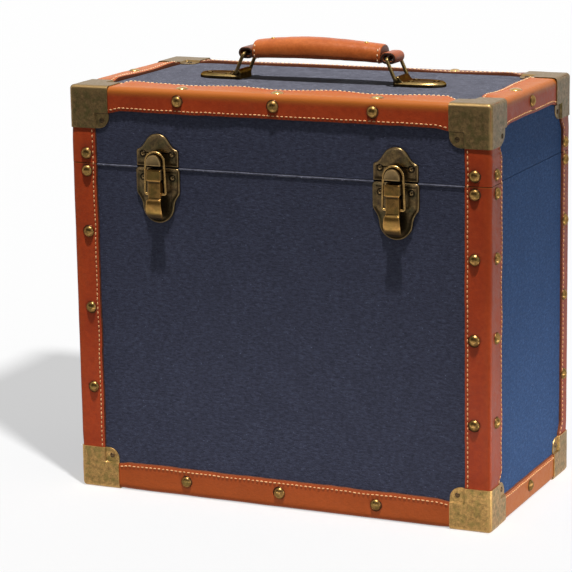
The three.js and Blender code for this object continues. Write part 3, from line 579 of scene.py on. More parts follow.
# An L-shaped leather strip over one edge of the case, along one axis. It lies on face a, then on face b,
# which are given as (axis, sign), and tacks are places along the strip on each.
class Strip:
    def __init__(self, name, along, a, b, span, tacksA, tacksB, body, seed):
        size, upright = bindingSize, along == 2
        self.name, self.along, self.a = name, along, a
        self.span, self.body, self.seed = span, body, seed
        self.kind = "upright" if upright else name.split("_")[0]
        self.round = size["arris"][self.kind]
        other = "crown" if not upright else "back_side" if "back" in name else "upright"
        self.inset = {"a": size["tackInset"][self.kind], "b": size["tackInset"][other]}
        foot = name in ("bottom_left_binding", "bottom_right_binding")
        self.wornAndLit = size["wornAndLit"]["foot" if foot else self.kind]
        self.sunk = size["sunk"].get(name, 0.0)
        self.darkening = size["darkening"].get(name, 0.0)
        reach = size["reach"].get(name.split("_", 1)[1] if upright else name, (flange, flange))
        self.reach = dict(zip("ab", reach))
        self.shade = self.sideShade()
        self.tacks = {"a": tacksA, "b": tacksB}
        self.normals = {"a": unit(*a), "b": unit(*b)}
        self.corner = Vector((0, 0, 0))
        for axis, sign in (a, b):
            self.corner[axis] = facePlane(axis, sign, 0)

    # Painted shade: the leather on the case's left and right faces is darkened, for the shade that falls
    # there.
    def sideShade(self):
        shades = bindingSize["shade"]
        if self.along == 2:
            return {"a": 0.0, "b": shades["back" if "back" in self.name else "upright"]}
        return {"a": shades["top_right"] if self.kind == "top" and self.a[0] == 0 else 0.0, "b": 0.0}

    def fromEnd(self, t):
        return min(t - facePlane(self.along, -1, 0), facePlane(self.along, 1, 0) - t)

    # 0 under the corner caps, 1 beyond them.
    def ease(self, t):
        return smoothStep(self.fromEnd(t), capReach - 3 * mm, capReach + 9 * mm)

    def width(self, t, side):
        shift = 40 if side == "a" else 80
        wander = noise.noise((t / (30 * mm), self.seed, shift))
        wander += 0.4 * noise.noise((t / (8 * mm), self.seed, shift))
        reach = flange + (self.reach[side] - flange) * self.ease(t)
        return reach + bindingSize["edgeWander"] * wander * self.ease(t)

    def height(self, t, p, side):
        size = bindingSize
        shift = 0 if side == "a" else 20
        lift = noise.noise((t / (26 * mm), p / (30 * mm) + shift, self.seed)) + 0.35
        rise = size["lift"] + size["wave"] * lift * (0.45 + 0.55 * smoothStep(p, 4 * mm, flange))
        if side == "b" and self.kind == "top" and self.tacks["b"]:
            pinned = max(peak(t - tack, size["billowReach"]) for tack in self.tacks["b"])
            rise += size["billow"] * (1 - pinned) * smoothStep(p, 3 * mm, flange)
        for tack in self.tacks[side]:
            rise -= size["dip"] * peak(math.hypot(t - tack, p - self.inset[side]), size["dipReach"])
        return bindLevel + self.ease(t) * (max(rise, -0.3 * mm) - self.sunk)

    def flangePoint(self, t, p, side, height):
        normal, other = self.normals[side], self.normals["b" if side == "a" else "a"]
        return self.corner + unit(self.along) * t + normal * height - other * p

    def arcPoint(self, t, turn, height):
        first, second = self.normals["a"], self.normals["b"]
        centre = self.corner - (first + second) * self.round
        out = math.cos(turn) * first + math.sin(turn) * second
        return centre + unit(self.along) * t + out * (self.round + height)

    # Outer points, inner points, and each outer point's wear and highlight, and grime and shade.
    def section(self, t):
        r, size = self.round, bindingSize
        steps, turns = size["flangeSteps"], size["arrisSteps"]
        ringReach = tackSize["radius"] - 1 * mm, tackSize["radius"] + 1.6 * mm
        outer, inner, wear, grime = [], [], [], []
        for side in ("a", "b"):
            w = self.width(t, side)
            rows = [(w + past, share) for past, share in size["lip"]]
            rows += [(w + (r - w) * (k + 1) / steps, 1.0) for k in range(steps)]
            if side == "b":
                mean = (self.height(t, r, "a") + self.height(t, r, "b")) / 2
                for k in range(1, turns):
                    turn = math.pi / 2 * k / turns
                    outer.append(self.arcPoint(t, turn, mean))
                    inner.append(self.arcPoint(t, turn, size["inner"]))
                    wear.append(self.wornAndLit)
                    grime.append(self.darkening)
                rows.reverse()
            fade = size["fadeOver"] if side == "b" else size["fade"][self.kind]
            for p, share in rows:
                height = self.height(t, min(p, w), side)
                outer.append(self.flangePoint(t, p, side, max(size["inner"], height * share)))
                inner.append(self.flangePoint(t, p, side, 0.0))
                wear.append(self.wornAndLit * (1 - smoothStep(p, r * 0.6, fade)))
                # Each tack's ring of dirt and painted shadow, the darkening, and the side faces' painted
                # shade darken the flange.
                near = min((math.hypot(t - k, p - self.inset[side]) for k in self.tacks[side]), default=1.0)
                ring = size["tackDirtAndShadow"] * (1 - smoothStep(near, *ringReach))
                grime.append(max(ring, self.darkening, self.shade[side]))
        return outer, inner, wear, grime

    def stations(self):
        low, high = self.span
        count = round((high - low) / bindingSize["step"])
        return [low + (high - low) * i / count for i in range(count + 1)]

    def build(self):
        builder = Builder()
        places = self.stations()
        rimmed = self.along == 2 and self.body == "body"
        if rimmed:  # it ends in a short rim at the seam, lightened as a painted highlight
            places[-2] = self.span[1] - 0.9 * mm
        wear, grime, rows = [], [], []
        for i, t in enumerate(places):
            outer, inner, wornAndLit, grimedAndShaded = self.section(t)
            if rimmed and i == len(places) - 1:
                wornAndLit = [0.9] * len(wornAndLit)
            rows.append(outer + inner[::-1])
            wear += wornAndLit + [0.0] * len(wornAndLit)
            grime += grimedAndShaded + [0.0] * len(grimedAndShaded)
        columns = len(rows[0])
        half = columns // 2
        points = [p for row in rows for p in row]
        builder.add(points, gridFaces(len(rows), columns, True), wear=wear, grime=grime)
        cut = [index % columns for index in range(len(builder.faces))]
        builder.slots = [1 if j < 2 or half - 3 <= j else 0 for j in cut]
        for start in (0, (len(rows) - 1) * columns):
            end = start + columns - 1
            builder.faces += [(start + j, start + j + 1, end - 1 - j, end - j) for j in range(half - 1)]
            builder.slots += [1] * (half - 1)
        name, leathers = self.name + "_leather", ["binding", "edge"]
        addPiece(name, builder, leathers, self.body, [self.name])

    def stitchLines(self):
        clear = capReach - capLevel - 2 * mm
        lines = []
        for side in ("a", "b"):
            line = []
            for t in self.stations():
                if self.fromEnd(t) < clear:
                    continue
                p = self.width(t, side) - bindingSize["stitchInset"]
                line.append(self.flangePoint(t, p, side, self.height(t, p, side) + 0.12 * mm))
            if len(line) > 2:
                lines.append(line)
        return lines

    def tackPlaces(self):
        places = []
        for side in ("a", "b"):
            normal, p = self.normals[side], self.inset[side]
            rise = tackSize["crownRise"] if normal.z > 0 else 1.0
            for t in self.tacks[side]:
                places.append((self.flangePoint(t, p, side, self.height(t, p, side)), normal, rise))
        return places


# Each strip's name, axis, two faces, span, tacks on each and body, in a fixed order.
def stripPlans():
    butt = flange + 0.1 * mm
    full = (facePlane(0, -1, bindLevel), facePlane(0, 1, bindLevel))
    between = (facePlane(1, -1, bindLevel) + butt + bindLevel, facePlane(1, 1, bindLevel) - butt - bindLevel)
    for level, up, body in topBottom:
        for side, sign in frontBack:
            crown = (longTacks if sign < 0 else longTacks[2:]) if up > 0 else []
            yield f"{level}_{side}_binding", 0, (1, sign), (2, up), full, longTacks, crown, body
        for side, sign in leftRight:
            crown = [rightCrownTack if sign > 0 else 0.0] if up > 0 else []
            yield f"{level}_{side}_binding", 1, (0, sign), (2, up), between, [0.0], crown, body
    lidSpan = (seam + seamGap / 2, facePlane(2, 1, 0) - butt)
    bodySpan = (facePlane(2, -1, 0) + butt, seam - seamGap / 2)
    for sideY, signY in frontBack:
        for sideX, signX in leftRight:
            for body, span, tacks in (("lid", lidSpan, lidTacks), ("body", bodySpan, bodyTacks)):
                name = f"{body}_{sideY}_{sideX}_binding"
                yield name, 2, (1, signY), (0, signX), span, tacks, tacks, body


# Repeats placed by geometry nodes

# A group that takes and gives geometry, with these other inputs, as (name, kind, value).
def newGroup(name, inputs):
    group = bpy.data.node_groups.new(name, "GeometryNodeTree")
    for label, kind, value in [("Geometry", "Geometry", None)] + inputs:
        socket = group.interface.new_socket(label, in_out="INPUT", socket_type="NodeSocket" + kind)
        if value is not None:
            socket.default_value = value
    group.interface.new_socket("Geometry", in_out="OUTPUT", socket_type="NodeSocketGeometry")
    graph = Graph(group)
    return graph, graph.add("NodeGroupInput")


# Places the instances, makes them real and paints them.
def endGroup(graph, points, shape, turn, scale, material):
    placed = graph.add("GeometryNodeInstanceOnPoints", {
        "Points": points,
        "Instance": shape,
        "Rotation": turn,
        "Scale": scale,
    })
    real = graph.add("GeometryNodeRealizeInstances", {"Geometry": placed["Instances"]})
    painted = graph.add("GeometryNodeSetMaterial", {"Geometry": real["Geometry"], "Material": material})
    graph.add("NodeGroupOutput", {"Geometry": painted["Geometry"]})
    return graph.tree


def stitchGroup():
    graph, source = newGroup("sewnStitches", [
        ("Pitch", "Float", 3.9 * mm),
        ("Length", "Float", 2.7 * mm),
        ("Thickness", "Float", 1.1 * mm),
        ("Seed", "Int", 3),
        ("Thread", "Material", None),
    ])
    add, thick = graph.add, source["Thickness"]
    curve = add("GeometryNodeMeshToCurve", {"Mesh": source["Geometry"]})
    stretch = {"Curve": curve["Curve"], "Length": source["Pitch"]}
    even = add("GeometryNodeResampleCurve", stretch, mode="LENGTH")
    ball = add("GeometryNodeMeshUVSphere", {"Segments": 8, "Rings": 6, "Radius": 0.5})
    size = add("ShaderNodeCombineXYZ", {0: thick, 1: thick, 2: source["Length"]})
    shape = add("GeometryNodeTransform", {"Geometry": ball["Mesh"], "Scale": size["Vector"]})
    tangent = add("GeometryNodeInputTangent")
    turn = add("FunctionNodeAlignRotationToVector", {"Vector": tangent["Tangent"]}, axis="Z")
    vary = add("FunctionNodeRandomValue", {2: 0.86, 3: 1.12, "Seed": source["Seed"]}, data_type="FLOAT")
    return endGroup(graph, even["Curve"], shape["Geometry"], turn["Rotation"], vary[1], source["Thread"])


def studGroup():
    graph, source = newGroup("drivenStuds", [
        ("Stud", "Object", None),
        ("Tilt", "Float", 0.07),
        ("Seed", "Int", 5),
        ("Metal", "Material", None),
    ])
    add, seed = graph.add, source["Seed"]
    points = add("GeometryNodeMeshToPoints", {"Mesh": source["Geometry"]})
    stud = add("GeometryNodeObjectInfo", {"Object": source["Stud"]})
    facing = add("GeometryNodeInputNamedAttribute", {"Name": "facing"}, data_type="FLOAT_VECTOR")
    rise = add("GeometryNodeInputNamedAttribute", {"Name": "rise"}, data_type="FLOAT")
    spread = {0: (-1, -1, -1), 1: (1, 1, 1), "Seed": seed}
    wobble = add("FunctionNodeRandomValue", spread, data_type="FLOAT_VECTOR")
    tilt = add("ShaderNodeCombineXYZ", {axis: source["Tilt"] for axis in range(3)})
    lean = add("ShaderNodeVectorMath", {0: wobble[0], 1: tilt[0], 2: facing[0]}, operation="MULTIPLY_ADD")
    turn = add("FunctionNodeAlignRotationToVector", {"Vector": lean["Vector"]}, axis="Z")
    vary = add("FunctionNodeRandomValue", {2: 0.95, 3: 1.04, "Seed": seed}, data_type="FLOAT")
    size = add("ShaderNodeCombineXYZ", {0: 1, 1: 1, 2: rise[0]})
    sized = add("ShaderNodeVectorMath", {0: size["Vector"], "Scale": vary[1]}, operation="SCALE")
    shape = stud["Geometry"]
    return endGroup(graph, points["Points"], shape, turn["Rotation"], sized["Vector"], source["Metal"])


# Runs a node group on a guide mesh and keeps the result as a plain mesh.
def grow(name, guide, group, values, material, body):
    holder = bpy.data.objects.new(name, guide)
    scene.collection.objects.link(holder)
    modifier = holder.modifiers.new("grow", "NODES")
    modifier.node_group = group
    for item in group.interface.items_tree:
        if item.item_type == "SOCKET" and item.in_out == "INPUT" and item.name in values:
            modifier[item.identifier] = values[item.name]
    bpy.context.view_layer.update()
    evaluated = holder.evaluated_get(bpy.context.evaluated_depsgraph_get())
    mesh = bpy.data.meshes.new_from_object(evaluated)
    holder.modifiers.remove(modifier)
    holder.data = mesh
    mesh.materials.clear()
    mesh.materials.append(material)
    mesh.polygons.foreach_set("use_smooth", [True] * len(mesh.polygons))
    mesh.update()
    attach(holder, body)


def lineMesh(name, lines):
    points, edges = [], []
    for line in lines:
        start = len(points)
        points += [tuple(p) for p in line]
        edges += [(start + i, start + i + 1) for i in range(len(line) - 1)]
    mesh = bpy.data.meshes.new(name)
    mesh.from_pydata(points, edges, [])
    return mesh


# Places are (point, facing, rise).
def pointMesh(name, places):
    mesh = bpy.data.meshes.new(name)
    mesh.from_pydata([tuple(point) for point, _, _ in places], [], [])
    facing = mesh.attributes.new("facing", "FLOAT_VECTOR", "POINT")
    facing.data.foreach_set("vector", [v for _, normal, _ in places for v in normal])
    rise = mesh.attributes.new("rise", "FLOAT", "POINT")
    rise.data.foreach_set("value", [height for _, _, height in places])
    return mesh


# A dome on a thin dark seat, as shares of (radius, height) with the darkening there: dirt and painted shadow
# round the dome's foot.
def tackTemplate():
    r, h, sink, sides = (tackSize[key] for key in ("radius", "height", "sink", "sides"))
    shares = [
        (0.0, -1, 1), (1.13, -1, 1), (1.15, 0.03, 1), (1.02, 0.06, 1), (1.0, 0.12, 0.7), (0.98, 0.24, 0.2),
        (0.9, 0.44, 0.05), (0.72, 0.72, 0), (0.48, 0.9, 0), (0.22, 0.985, 0), (0.0, 1, 0),
    ]
    profile = [(max(r * x, 0.01 * mm), -sink if z < 0 else h * z) for x, z, _ in shares]
    points, faces = lathe(profile, sides)
    mesh = bpy.data.meshes.new("tackTemplate")
    mesh.from_pydata(points, [], faces)
    layer = mesh.attributes.new("grime", "FLOAT", "POINT")
    layer.data.foreach_set("value", [grime for _, _, grime in shares for _ in range(sides)])
    tack = bpy.data.objects.new("tackTemplate", mesh)
    scene.collection.objects.link(tack)
    return tack


def makeBinding():
    strips = [Strip(*plan, seed) for seed, plan in enumerate(stripPlans(), 1)]
    for strip in strips:
        strip.build()
    stitches, studs = stitchGroup(), studGroup()
    tack, thread = tackTemplate(), looks["thread"]
    for body in ("lid", "body"):
        own = [s for s in strips if s.body == body]
        seams = lineMesh(f"{body}Seams", [line for s in own for line in s.stitchLines()])
        values = {"Thread": thread, "Seed": 3}
        grow(f"{body}_binding_stitches", seams, stitches, values, thread, body)
        places = [place for s in own for place in s.tackPlaces()]
        for name, metal in (("tacks", looks["tack"]), ("top_tacks", looks["crownTack"])):
            chosen = [place for place in places if (place[1].z > 0) == (name == "top_tacks")]
            if chosen:
                guide = pointMesh(f"{body}_{name}_places", chosen)
                values = {"Stud": tack, "Metal": metal, "Seed": 5}
                grow(f"{body}_{name}", guide, studs, values, metal, body)
    bpy.data.objects.remove(tack)
    return stitches


# Corner caps

capSize = {
    "round": 3.4 * mm,
    "tab": 9.5 * mm,
    "stepWidth": 0.9 * mm,
    "thickness": 0.8 * mm,
    "lip": 0.12 * mm,
    "dent": 0.14 * mm,
    "dentSpread": 9 * mm,
    # The cap is lightened by wear at the arris and rim, and by painted light on the top caps' crown and along
    # the ledge below the top.
    "wornAndLit": {"arris": 0.35, "crown": 0.45, "ledgeHighlight": 0.9, "rim": 0.5},
    "nail": 2.1 * mm,
    "nailHeight": 1.0 * mm,
    "nailShape": [(0, -0.3), (1, -0.3), (1, 0.15), (0.85, 0.55), (0.5, 0.9), (0, 1)],
}
tabStart = flange + capLevel + 0.1 * mm
capHub = capReach - capSize["tab"]


# Distances from the corner at which a cap's faces have their rows and columns.
def capStations():
    r, tab, width = capSize["round"], capSize["tab"], capSize["stepWidth"]
    arris = [r * (1 - math.tan(math.pi / 4 * (1 - k / 5))) for k in range(6)]
    flat = [r + (tabStart - r) * k / 5 for k in range(1, 6)]
    step = [tabStart + width * k / 3 for k in range(1, 4)]
    between = [step[-1] + (capHub - step[-1]) * k / 2 for k in (1, 2)]
    rest = [capHub + tab * math.sin(math.pi / 2 * k / 6) for k in range(1, 7)]
    return arris + flat + step + between + rest


# One face's rows of (place, shift inwards, distance from the nearer arris).
def capFace(axis, stations, drop, seed):
    r, tab, spread = capSize["round"], capSize["tab"], capSize["dentSpread"]
    u, v = (axis + 1) % 3, (axis + 2) % 3
    stepped = [smoothStep(a, tabStart, tabStart + capSize["stepWidth"]) for a in stations]
    rows = []
    for a, stepA in zip(stations, stepped):
        row = []
        for b, stepB in zip(stations, stepped):
            x, y = a, b
            if a > capHub and b > capHub:  # the tab's round end
                p, q = (a - capHub) / tab, (b - capHub) / tab
                x = capHub + tab * p * math.sqrt(1 - q * q / 2)
                y = capHub + tab * q * math.sqrt(1 - p * p / 2)
            flat = Vector((0, 0, 0))
            flat[u], flat[v] = x, y
            core = Vector([max(value, r) for value in flat])
            out = (core - flat).normalized()
            dent = capSize["dent"] * noise.noise((x / spread + seed, y / spread, axis * 7.3))
            row.append((core - out * r, out * (drop * stepA * stepB + dent), min(x, y)))
        rows.append(row)
    return rows


def cornerCap(name, signs, body, look, seed):
    builder = Builder()
    r, wornAndLit = capSize["round"], capSize["wornAndLit"]
    drop = capLevel - capSize["thickness"] - 0.1 * mm
    stations = capStations()
    count = len(stations)
    corner = Vector([facePlane(axis, signs[axis], capLevel) for axis in range(3)])
    nail, nailHeight = capSize["nail"], capSize["nailHeight"]
    nailHead = [(max(0.01 * mm, nail * s), nailHeight * h) for s, h in capSize["nailShape"]]

    def place(distances, inward):
        return Vector([corner[k] - signs[k] * (distances[k] + inward[k]) for k in range(3)])

    for axis in range(3):
        rows = capFace(axis, stations, drop, seed)
        # the top caps' top faces are lightened, a painted light from above
        crown = wornAndLit["crown"] if axis == 2 and signs[2] > 0 else 0.0
        wear = [
            max(crown, wornAndLit["arris"] * (1 - smoothStep(near, r * 0.2, r * 1.3)))
            for row in rows for _, _, near in row
        ]
        if axis == 1 and signs[2] > 0:  # a painted highlight along the edge below the top, on the front and back faces
            ledgeHighlight = [wornAndLit["ledgeHighlight"] * (1 - smoothStep(x, r * 0.6, r * 1.2)) for x in stations]
            wear = [max(w, ledgeHighlight[k // count]) for k, w in enumerate(wear)]
        builder.add([place(d, i) for row in rows for d, i, _ in row], gridFaces(count, count), wear=wear)
        for edge in (rows[-1], [row[-1] for row in rows]):
            skirt, rim = [], []
            for depth in (0.0, 0.25 * mm, capSize["thickness"]):
                lip = Vector([capSize["lip"] if depth > 0 and k != axis else 0 for k in range(3)])
                skirt += [place(d + lip, i + unit(axis) * depth) for d, i, _ in edge]
                rim += [wornAndLit["rim"] if depth < 0.5 * mm else 0.0] * count
            builder.add(skirt, gridFaces(3, count), wear=rim)
        spot = Vector([0 if k == axis else (tabStart + capReach) / 2 for k in range(3)])
        turn = unit(axis, signs[axis]).to_track_quat("Z", "Y").to_matrix().to_4x4()
        nailPlace = Matrix.Translation(place(spot, unit(axis) * drop)) @ turn
        builder.add(*lathe(nailHead, 14), 0, nailPlace, grime=0.95)
    addPiece(name + "_metal", builder, [look], body, [name], 50, 0.001 * mm)


def makeCaps():
    seed = 1
    for level, up, body in topBottom:
        # Top caps get the darker copy of the cap metal, painted shade, and bottom caps the brighter copy,
        # painted light.
        look = "bronze" if up > 0 else "brass"
        for sideY, signY in frontBack:
            for sideX, signX in leftRight:
                cornerCap(f"{level}_{sideY}_{sideX}_corner_cap", (signX, signY, up), body, look, seed)
                seed += 1


# Draw latches: strike plate with its keeper, base plate, lever and bail; the pin keeps its CAD mesh

latchSize = {
    "flat": 1.3 * mm,
    "rim": 1.9 * mm,
    "screw": 2.6 * mm,
    "screwOut": 13 * mm,
    "strikeScrew": 10.4 * mm,
    "baseScrew": 8.6 * mm,
    "keeperHalf": 6.7 * mm,
    "keeperLow": 1.9 * mm,
    "keeperTop": 11.1 * mm,
    "keeperOut": 9.8 * mm,
    "neck": (pinBox[1].x - pinBox[0].x) / 2,
    "ear": 1.2 * mm,
    "earOut": (0.9 * mm, 8.1 * mm),
    "earLow": -9.6 * mm,
    "earHigh": -0.9 * mm,
}
# The lever in mm: stretches and spots are depths below the seam, a stretch as (rises, full, late, gone)
leverSize = {
    "bowed": (25, 30, 37, 42),
    # a painted highlight on the bowed tab
    "bright": (25.4, 27, 34, 38),
    # the lever is darker above this depth
    "darkerAbove": (23, 25),
    # painted shade on the tab's lower end, below this depth
    "shadedBelow": (34.5, 38.5),
    # lightened ridges at the steps: wear and painted highlight
    "wornLitRidges": ((10.1, 0.5), (1.7, 0.45)),
    # painted shade lines at the steps
    "shadeLines": ((11.6, 0.8), (24.9, 0.6)),
    "edge": 0.82,
    "bow": 0.35,
    "thickness": 1.1,
    "walls": (4.5, 5.5),
    "hub": 2.6,
    "hubHalf": 4.65,
}


def scaled(points):
    return [tuple(v * mm for v in p) for p in points]


# Half of each plate's outline in mm, from its middle line, as (across, up from the seam)
def strikeHalf():
    side = [(18.8, 0.5), (18.8, 4), (18.8, 8), (18.8, 12)]
    side += bezier(side[-1], (18.8, 13.6), (18.2, 14.3), (16.8, 14.6), 4)
    side += bezier(side[-1], (14.4, 15.4), (12.4, 17.8), (10.4, 21), 5)
    side += bezier(side[-1], (8.0, 24.9), (4.8, 27.1), (0, 27.1), 8)
    return scaled([(0, 0.5), (6, 0.5), (12, 0.5)] + side)


def baseHalf():
    side = [(0, -0.6), (6, -0.6), (12, -0.6), (16.6, -0.6)]
    side += bezier(side[-1], (18.4, -0.6), (19.6, -1.8), (19.6, -3.6), 5)
    side += [(19.6, -9), (19.6, -14), (19.5, -19)]
    side += bezier(side[-1], (19.5, -22.4), (18.0, -23.2), (16.4, -25.6), 5)
    side += bezier(side[-1], (14.6, -28.4), (14.3, -31), (14.0, -33.6), 5)
    side += bezier(side[-1], (13.4, -39.5), (8.0, -46), (0, -46), 9)
    return scaled(side)


# Across, up from the seam and out from the front, of one latch's middle.
def frontPlace(centre):
    return lambda x, z, out: Vector((centre + x, boardLow.y - out, seam + z))


# A plate's rolled rim, as levels for stamp.
def rolledRim(flat, rim):
    return [
        (0, 0.05 * mm, 0, 0.5), (0, 1.1 * mm, 0, 0), (0.15 * mm, rim - 0.35 * mm, 0.1, 0),
        (0.5 * mm, rim - 0.04 * mm, 0.25, 0), (0.85 * mm, rim, 0.2, 0), (1.3 * mm, rim - 0.12 * mm, 0.05, 0),
        (2 * mm, flat + 0.15 * mm, 0, 0.25), (2.7 * mm, flat, 0, 0.2), (3.8 * mm, flat, 0, 0),
    ]


# A cross-recessed head in a dished ring, as (share of the radius, height in mm, wear and highlight, grime and
# shade). The ring is darkened with dirt and painted shadow, and the crown lightened with wear and a painted
# highlight.
def screwHead(builder, toPoint, x, z, level, radius):
    profile = [
        (1.2, -0.2, 0, 0.9), (1.12, 0.2, 0, 1), (0.96, 0.26, 0, 1), (0.84, -0.1, 0, 1), (0.78, 0.12, 0, 1),
        (0.66, 0.42, 0, 0.8), (0.5, 0.6, 0.35, 0.2), (0.32, 0.7, 0.75, 0), (0.12, 0.3, 0, 1),
    ]
    sides, crossed, depth = 24, (0.5, 0.32), 0.45
    turns = [2 * math.pi * (k + 1.5) / sides for k in range(sides)]
    rings = []
    for share, height, _, _ in profile:
        ring = []
        for k, turn in enumerate(turns):
            cross = depth if share in crossed and k % 6 == 0 else 0.0
            across, up = radius * share * math.cos(turn), radius * share * math.sin(turn)
            ring.append(toPoint(x + across, z + up, level + (height - cross) * mm))
        rings.append(ring)
    wornAndLit = [w for _, _, w, _ in profile for _ in range(sides)]
    grime = [g for _, _, _, g in profile for _ in range(sides)]
    builder.add(*loft(rings), wear=wornAndLit, grime=grime)


# A plate with its two screws.
def platePiece(half, toPoint, screwHeight):
    builder = Builder()
    flat = latchSize["flat"]
    stamp(builder, mirroredOutline(half), rolledRim(flat, latchSize["rim"]), toPoint)
    for sign in (-1, 1):
        screwHead(builder, toPoint, sign * latchSize["screwOut"], screwHeight, flat, latchSize["screw"])
    return builder


def strikePiece(side, toPoint):
    builder = platePiece(strikeHalf(), toPoint, latchSize["strikeScrew"])
    flat, half, low, top, out = (
        latchSize[key] for key in ("flat", "keeperHalf", "keeperLow", "keeperTop", "keeperOut")
    )
    middle = top - half
    turns = [math.pi * k / 18 for k in range(19)]
    keeper = [(-half, low), (half, low), (half, (low + middle) / 2)]
    keeper += [(half * math.cos(turn), middle + half * math.sin(turn)) for turn in turns]
    levels = [
        (0, flat - 0.1 * mm, 0, 1), (0.1 * mm, flat + 2.6 * mm, 0, 0.9), (0.1 * mm, out - 2.6 * mm, 0, 0.6),
        (0, out - 1.2 * mm, 0.2, 0.1), (0.2 * mm, out - 0.3 * mm, 0.6, 0), (0.7 * mm, out, 0.75, 0),
        (1.2 * mm, out - 0.05 * mm, 0.5, 0), (1.9 * mm, out - 0.15 * mm, 0.4, 0),
    ]
    stamp(builder, keeper, levels, toPoint)
    addMetal(f"latch_{side}_strike_plate", "metal", builder, "latch", "lid", 34)


def basePiece(side, toPoint):
    builder = platePiece(baseHalf(), toPoint, -latchSize["baseScrew"])
    (root, tip), low, high = (latchSize[key] for key in ("earOut", "earLow", "earHigh"))
    ear = [(root, low), (tip - 2 * mm, low)]
    ear += bezier(ear[-1], (tip, low), (tip, low), (tip, low + 2.2 * mm), 5) + [(tip, high - 2.1 * mm)]
    ear += bezier(ear[-1], (tip, high), (tip, high), (tip - 2 * mm, high), 5) + [(root, high)]
    for sign in (-1, 1):
        edges = sorted((sign * latchSize["neck"], sign * (latchSize["neck"] - latchSize["ear"])))
        slab(builder, ear, *edges, lambda out, z, x: toPoint(x, z, out), wear=0.2)
    addMetal(f"latch_{side}_base_plate", "metal", builder, "latch", "body", 34)


# The lever's outer face from the top of its hood to its tip, as (out, up from the seam) in mm
def leverLine():
    line = [(9.3, -1.3), (9.8, -1.5), (10, -2.0)]
    line += [(10, -2.0 - 0.83 * k) for k in range(1, 10)]
    line += [(10, -9.9), (9.75, -10.4), (9.1, -10.9), (8.9, -11.4)]
    line += [(8.9, -11.4 - 0.62 * k) for k in range(1, 21)]
    line += bezier(line[-1], (8.9, -24.8), (9.1, -25.2), (10.2, -25.6), 6)
    line += bezier(line[-1], (11.0, -26.4), (11.3, -28.4), (11.3, -31), 10)
    line += bezier(line[-1], (11.3, -36.4), (8.6, -40.4), (6.6, -42.0), 14)
    line += bezier(line[-1], (6.0, -42.5), (5.3, -42.4), (5.0, -41.6), 4)
    return line


def leverWidth(z):
    steps = [(-44, 4.6), (-42.3, 5.2), (-41, 6.4), (-38.5, 7.1), (-34, 7.2), (-29, 6.7), (-25.6, 6.1),
             (-24.4, 5.6), (-11, 5.5), (-10.5, 6.2), (-9.9, 6.5), (-1.9, 6.5), (-1.3, 6.0)]
    return float(np.interp(z, *zip(*steps)))


def leverPiece(side, toPoint):
    builder = Builder()
    size, line = leverSize, leverLine()
    edge, bow, hub, half = (size[key] for key in ("edge", "bow", "hub", "hubHalf"))
    shares = [-1, -0.95, -0.86, -0.66, -0.4, -0.14, 0.14, 0.4, 0.66, 0.86, 0.95, 1]
    rows, wear, grime = [], [], []
    for i, (out, z) in enumerate(line):
        before, after = line[max(i - 1, 0)], line[min(i + 1, len(line) - 1)]
        along = Vector((after[0] - before[0], after[1] - before[1])).normalized()
        normal = Vector((-along.y, along.x))
        width = leverWidth(z)
        bowed, bright = plateau(-z, *size["bowed"]), plateau(-z, *size["bright"])
        wornLitRidge = sum(peak(-z - at, reach) for at, reach in size["wornLitRidges"])
        shadeLine = sum(peak(-z - at, reach) for at, reach in size["shadeLines"])
        dull = 0.45 * (1 - smoothStep(-z, *size["darkerAbove"])) + 0.9 * smoothStep(-z, *size["shadedBelow"])
        front, back = [], []
        for u in shares:
            rounding = bow * max(0.0, (abs(u) - edge) / (1 - edge)) ** 2
            lift = bow * bowed * (1 - u * u) - rounding
            sunk = lift - size["thickness"] + 1.2 * rounding
            front.append((u * width, out + normal.x * lift, z + normal.y * lift))
            back.append((u * width, out + normal.x * sunk, z + normal.y * sunk))
            # Lightened at the edges, on the ridges by wear and painted highlight, and on the tab by a painted
            # highlight; darkened by painted shade lines, darker above the neck, and by painted shade on the
            # tab's lower end.
            wear.append(min(1.0, 0.15 * smoothStep(abs(u), edge, 0.97) + 0.5 * wornLitRidge + 0.22 * bright))
            grime.append(min(1.0, 0.7 * shadeLine + dull))
        wear += [0.0] * len(back)
        grime += [0.8] * len(back)
        rows.append([toPoint(x * mm, h * mm, o * mm) for x, o, h in front + back[::-1]])
    builder.add(*loft(rows), wear=wear, grime=grime)
    sideways = lambda out, z, x: toPoint(x, z, out)
    wall = scaled([(4.2, -13.5), (4.2, -22.5), (8.3, -25), (8.3, -11.6), (6.4, -11.6)])
    for sign in (-1, 1):
        slab(builder, wall, *sorted(sign * place * mm for place in size["walls"]), sideways, wear=0.1)
    turns = [math.radians(t) for t in range(40, 325, 15)]
    eye = [(5.6 + hub * math.cos(turn), -3.4 + hub * math.sin(turn)) for turn in turns]
    slab(builder, scaled(eye + [(9.4, -5.6), (9.4, -2.2)]), -half * mm, half * mm, sideways, grime=0.8)
    addMetal(f"latch_{side}_lever", "metal", builder, "lever", f"{side}_lever", 40)


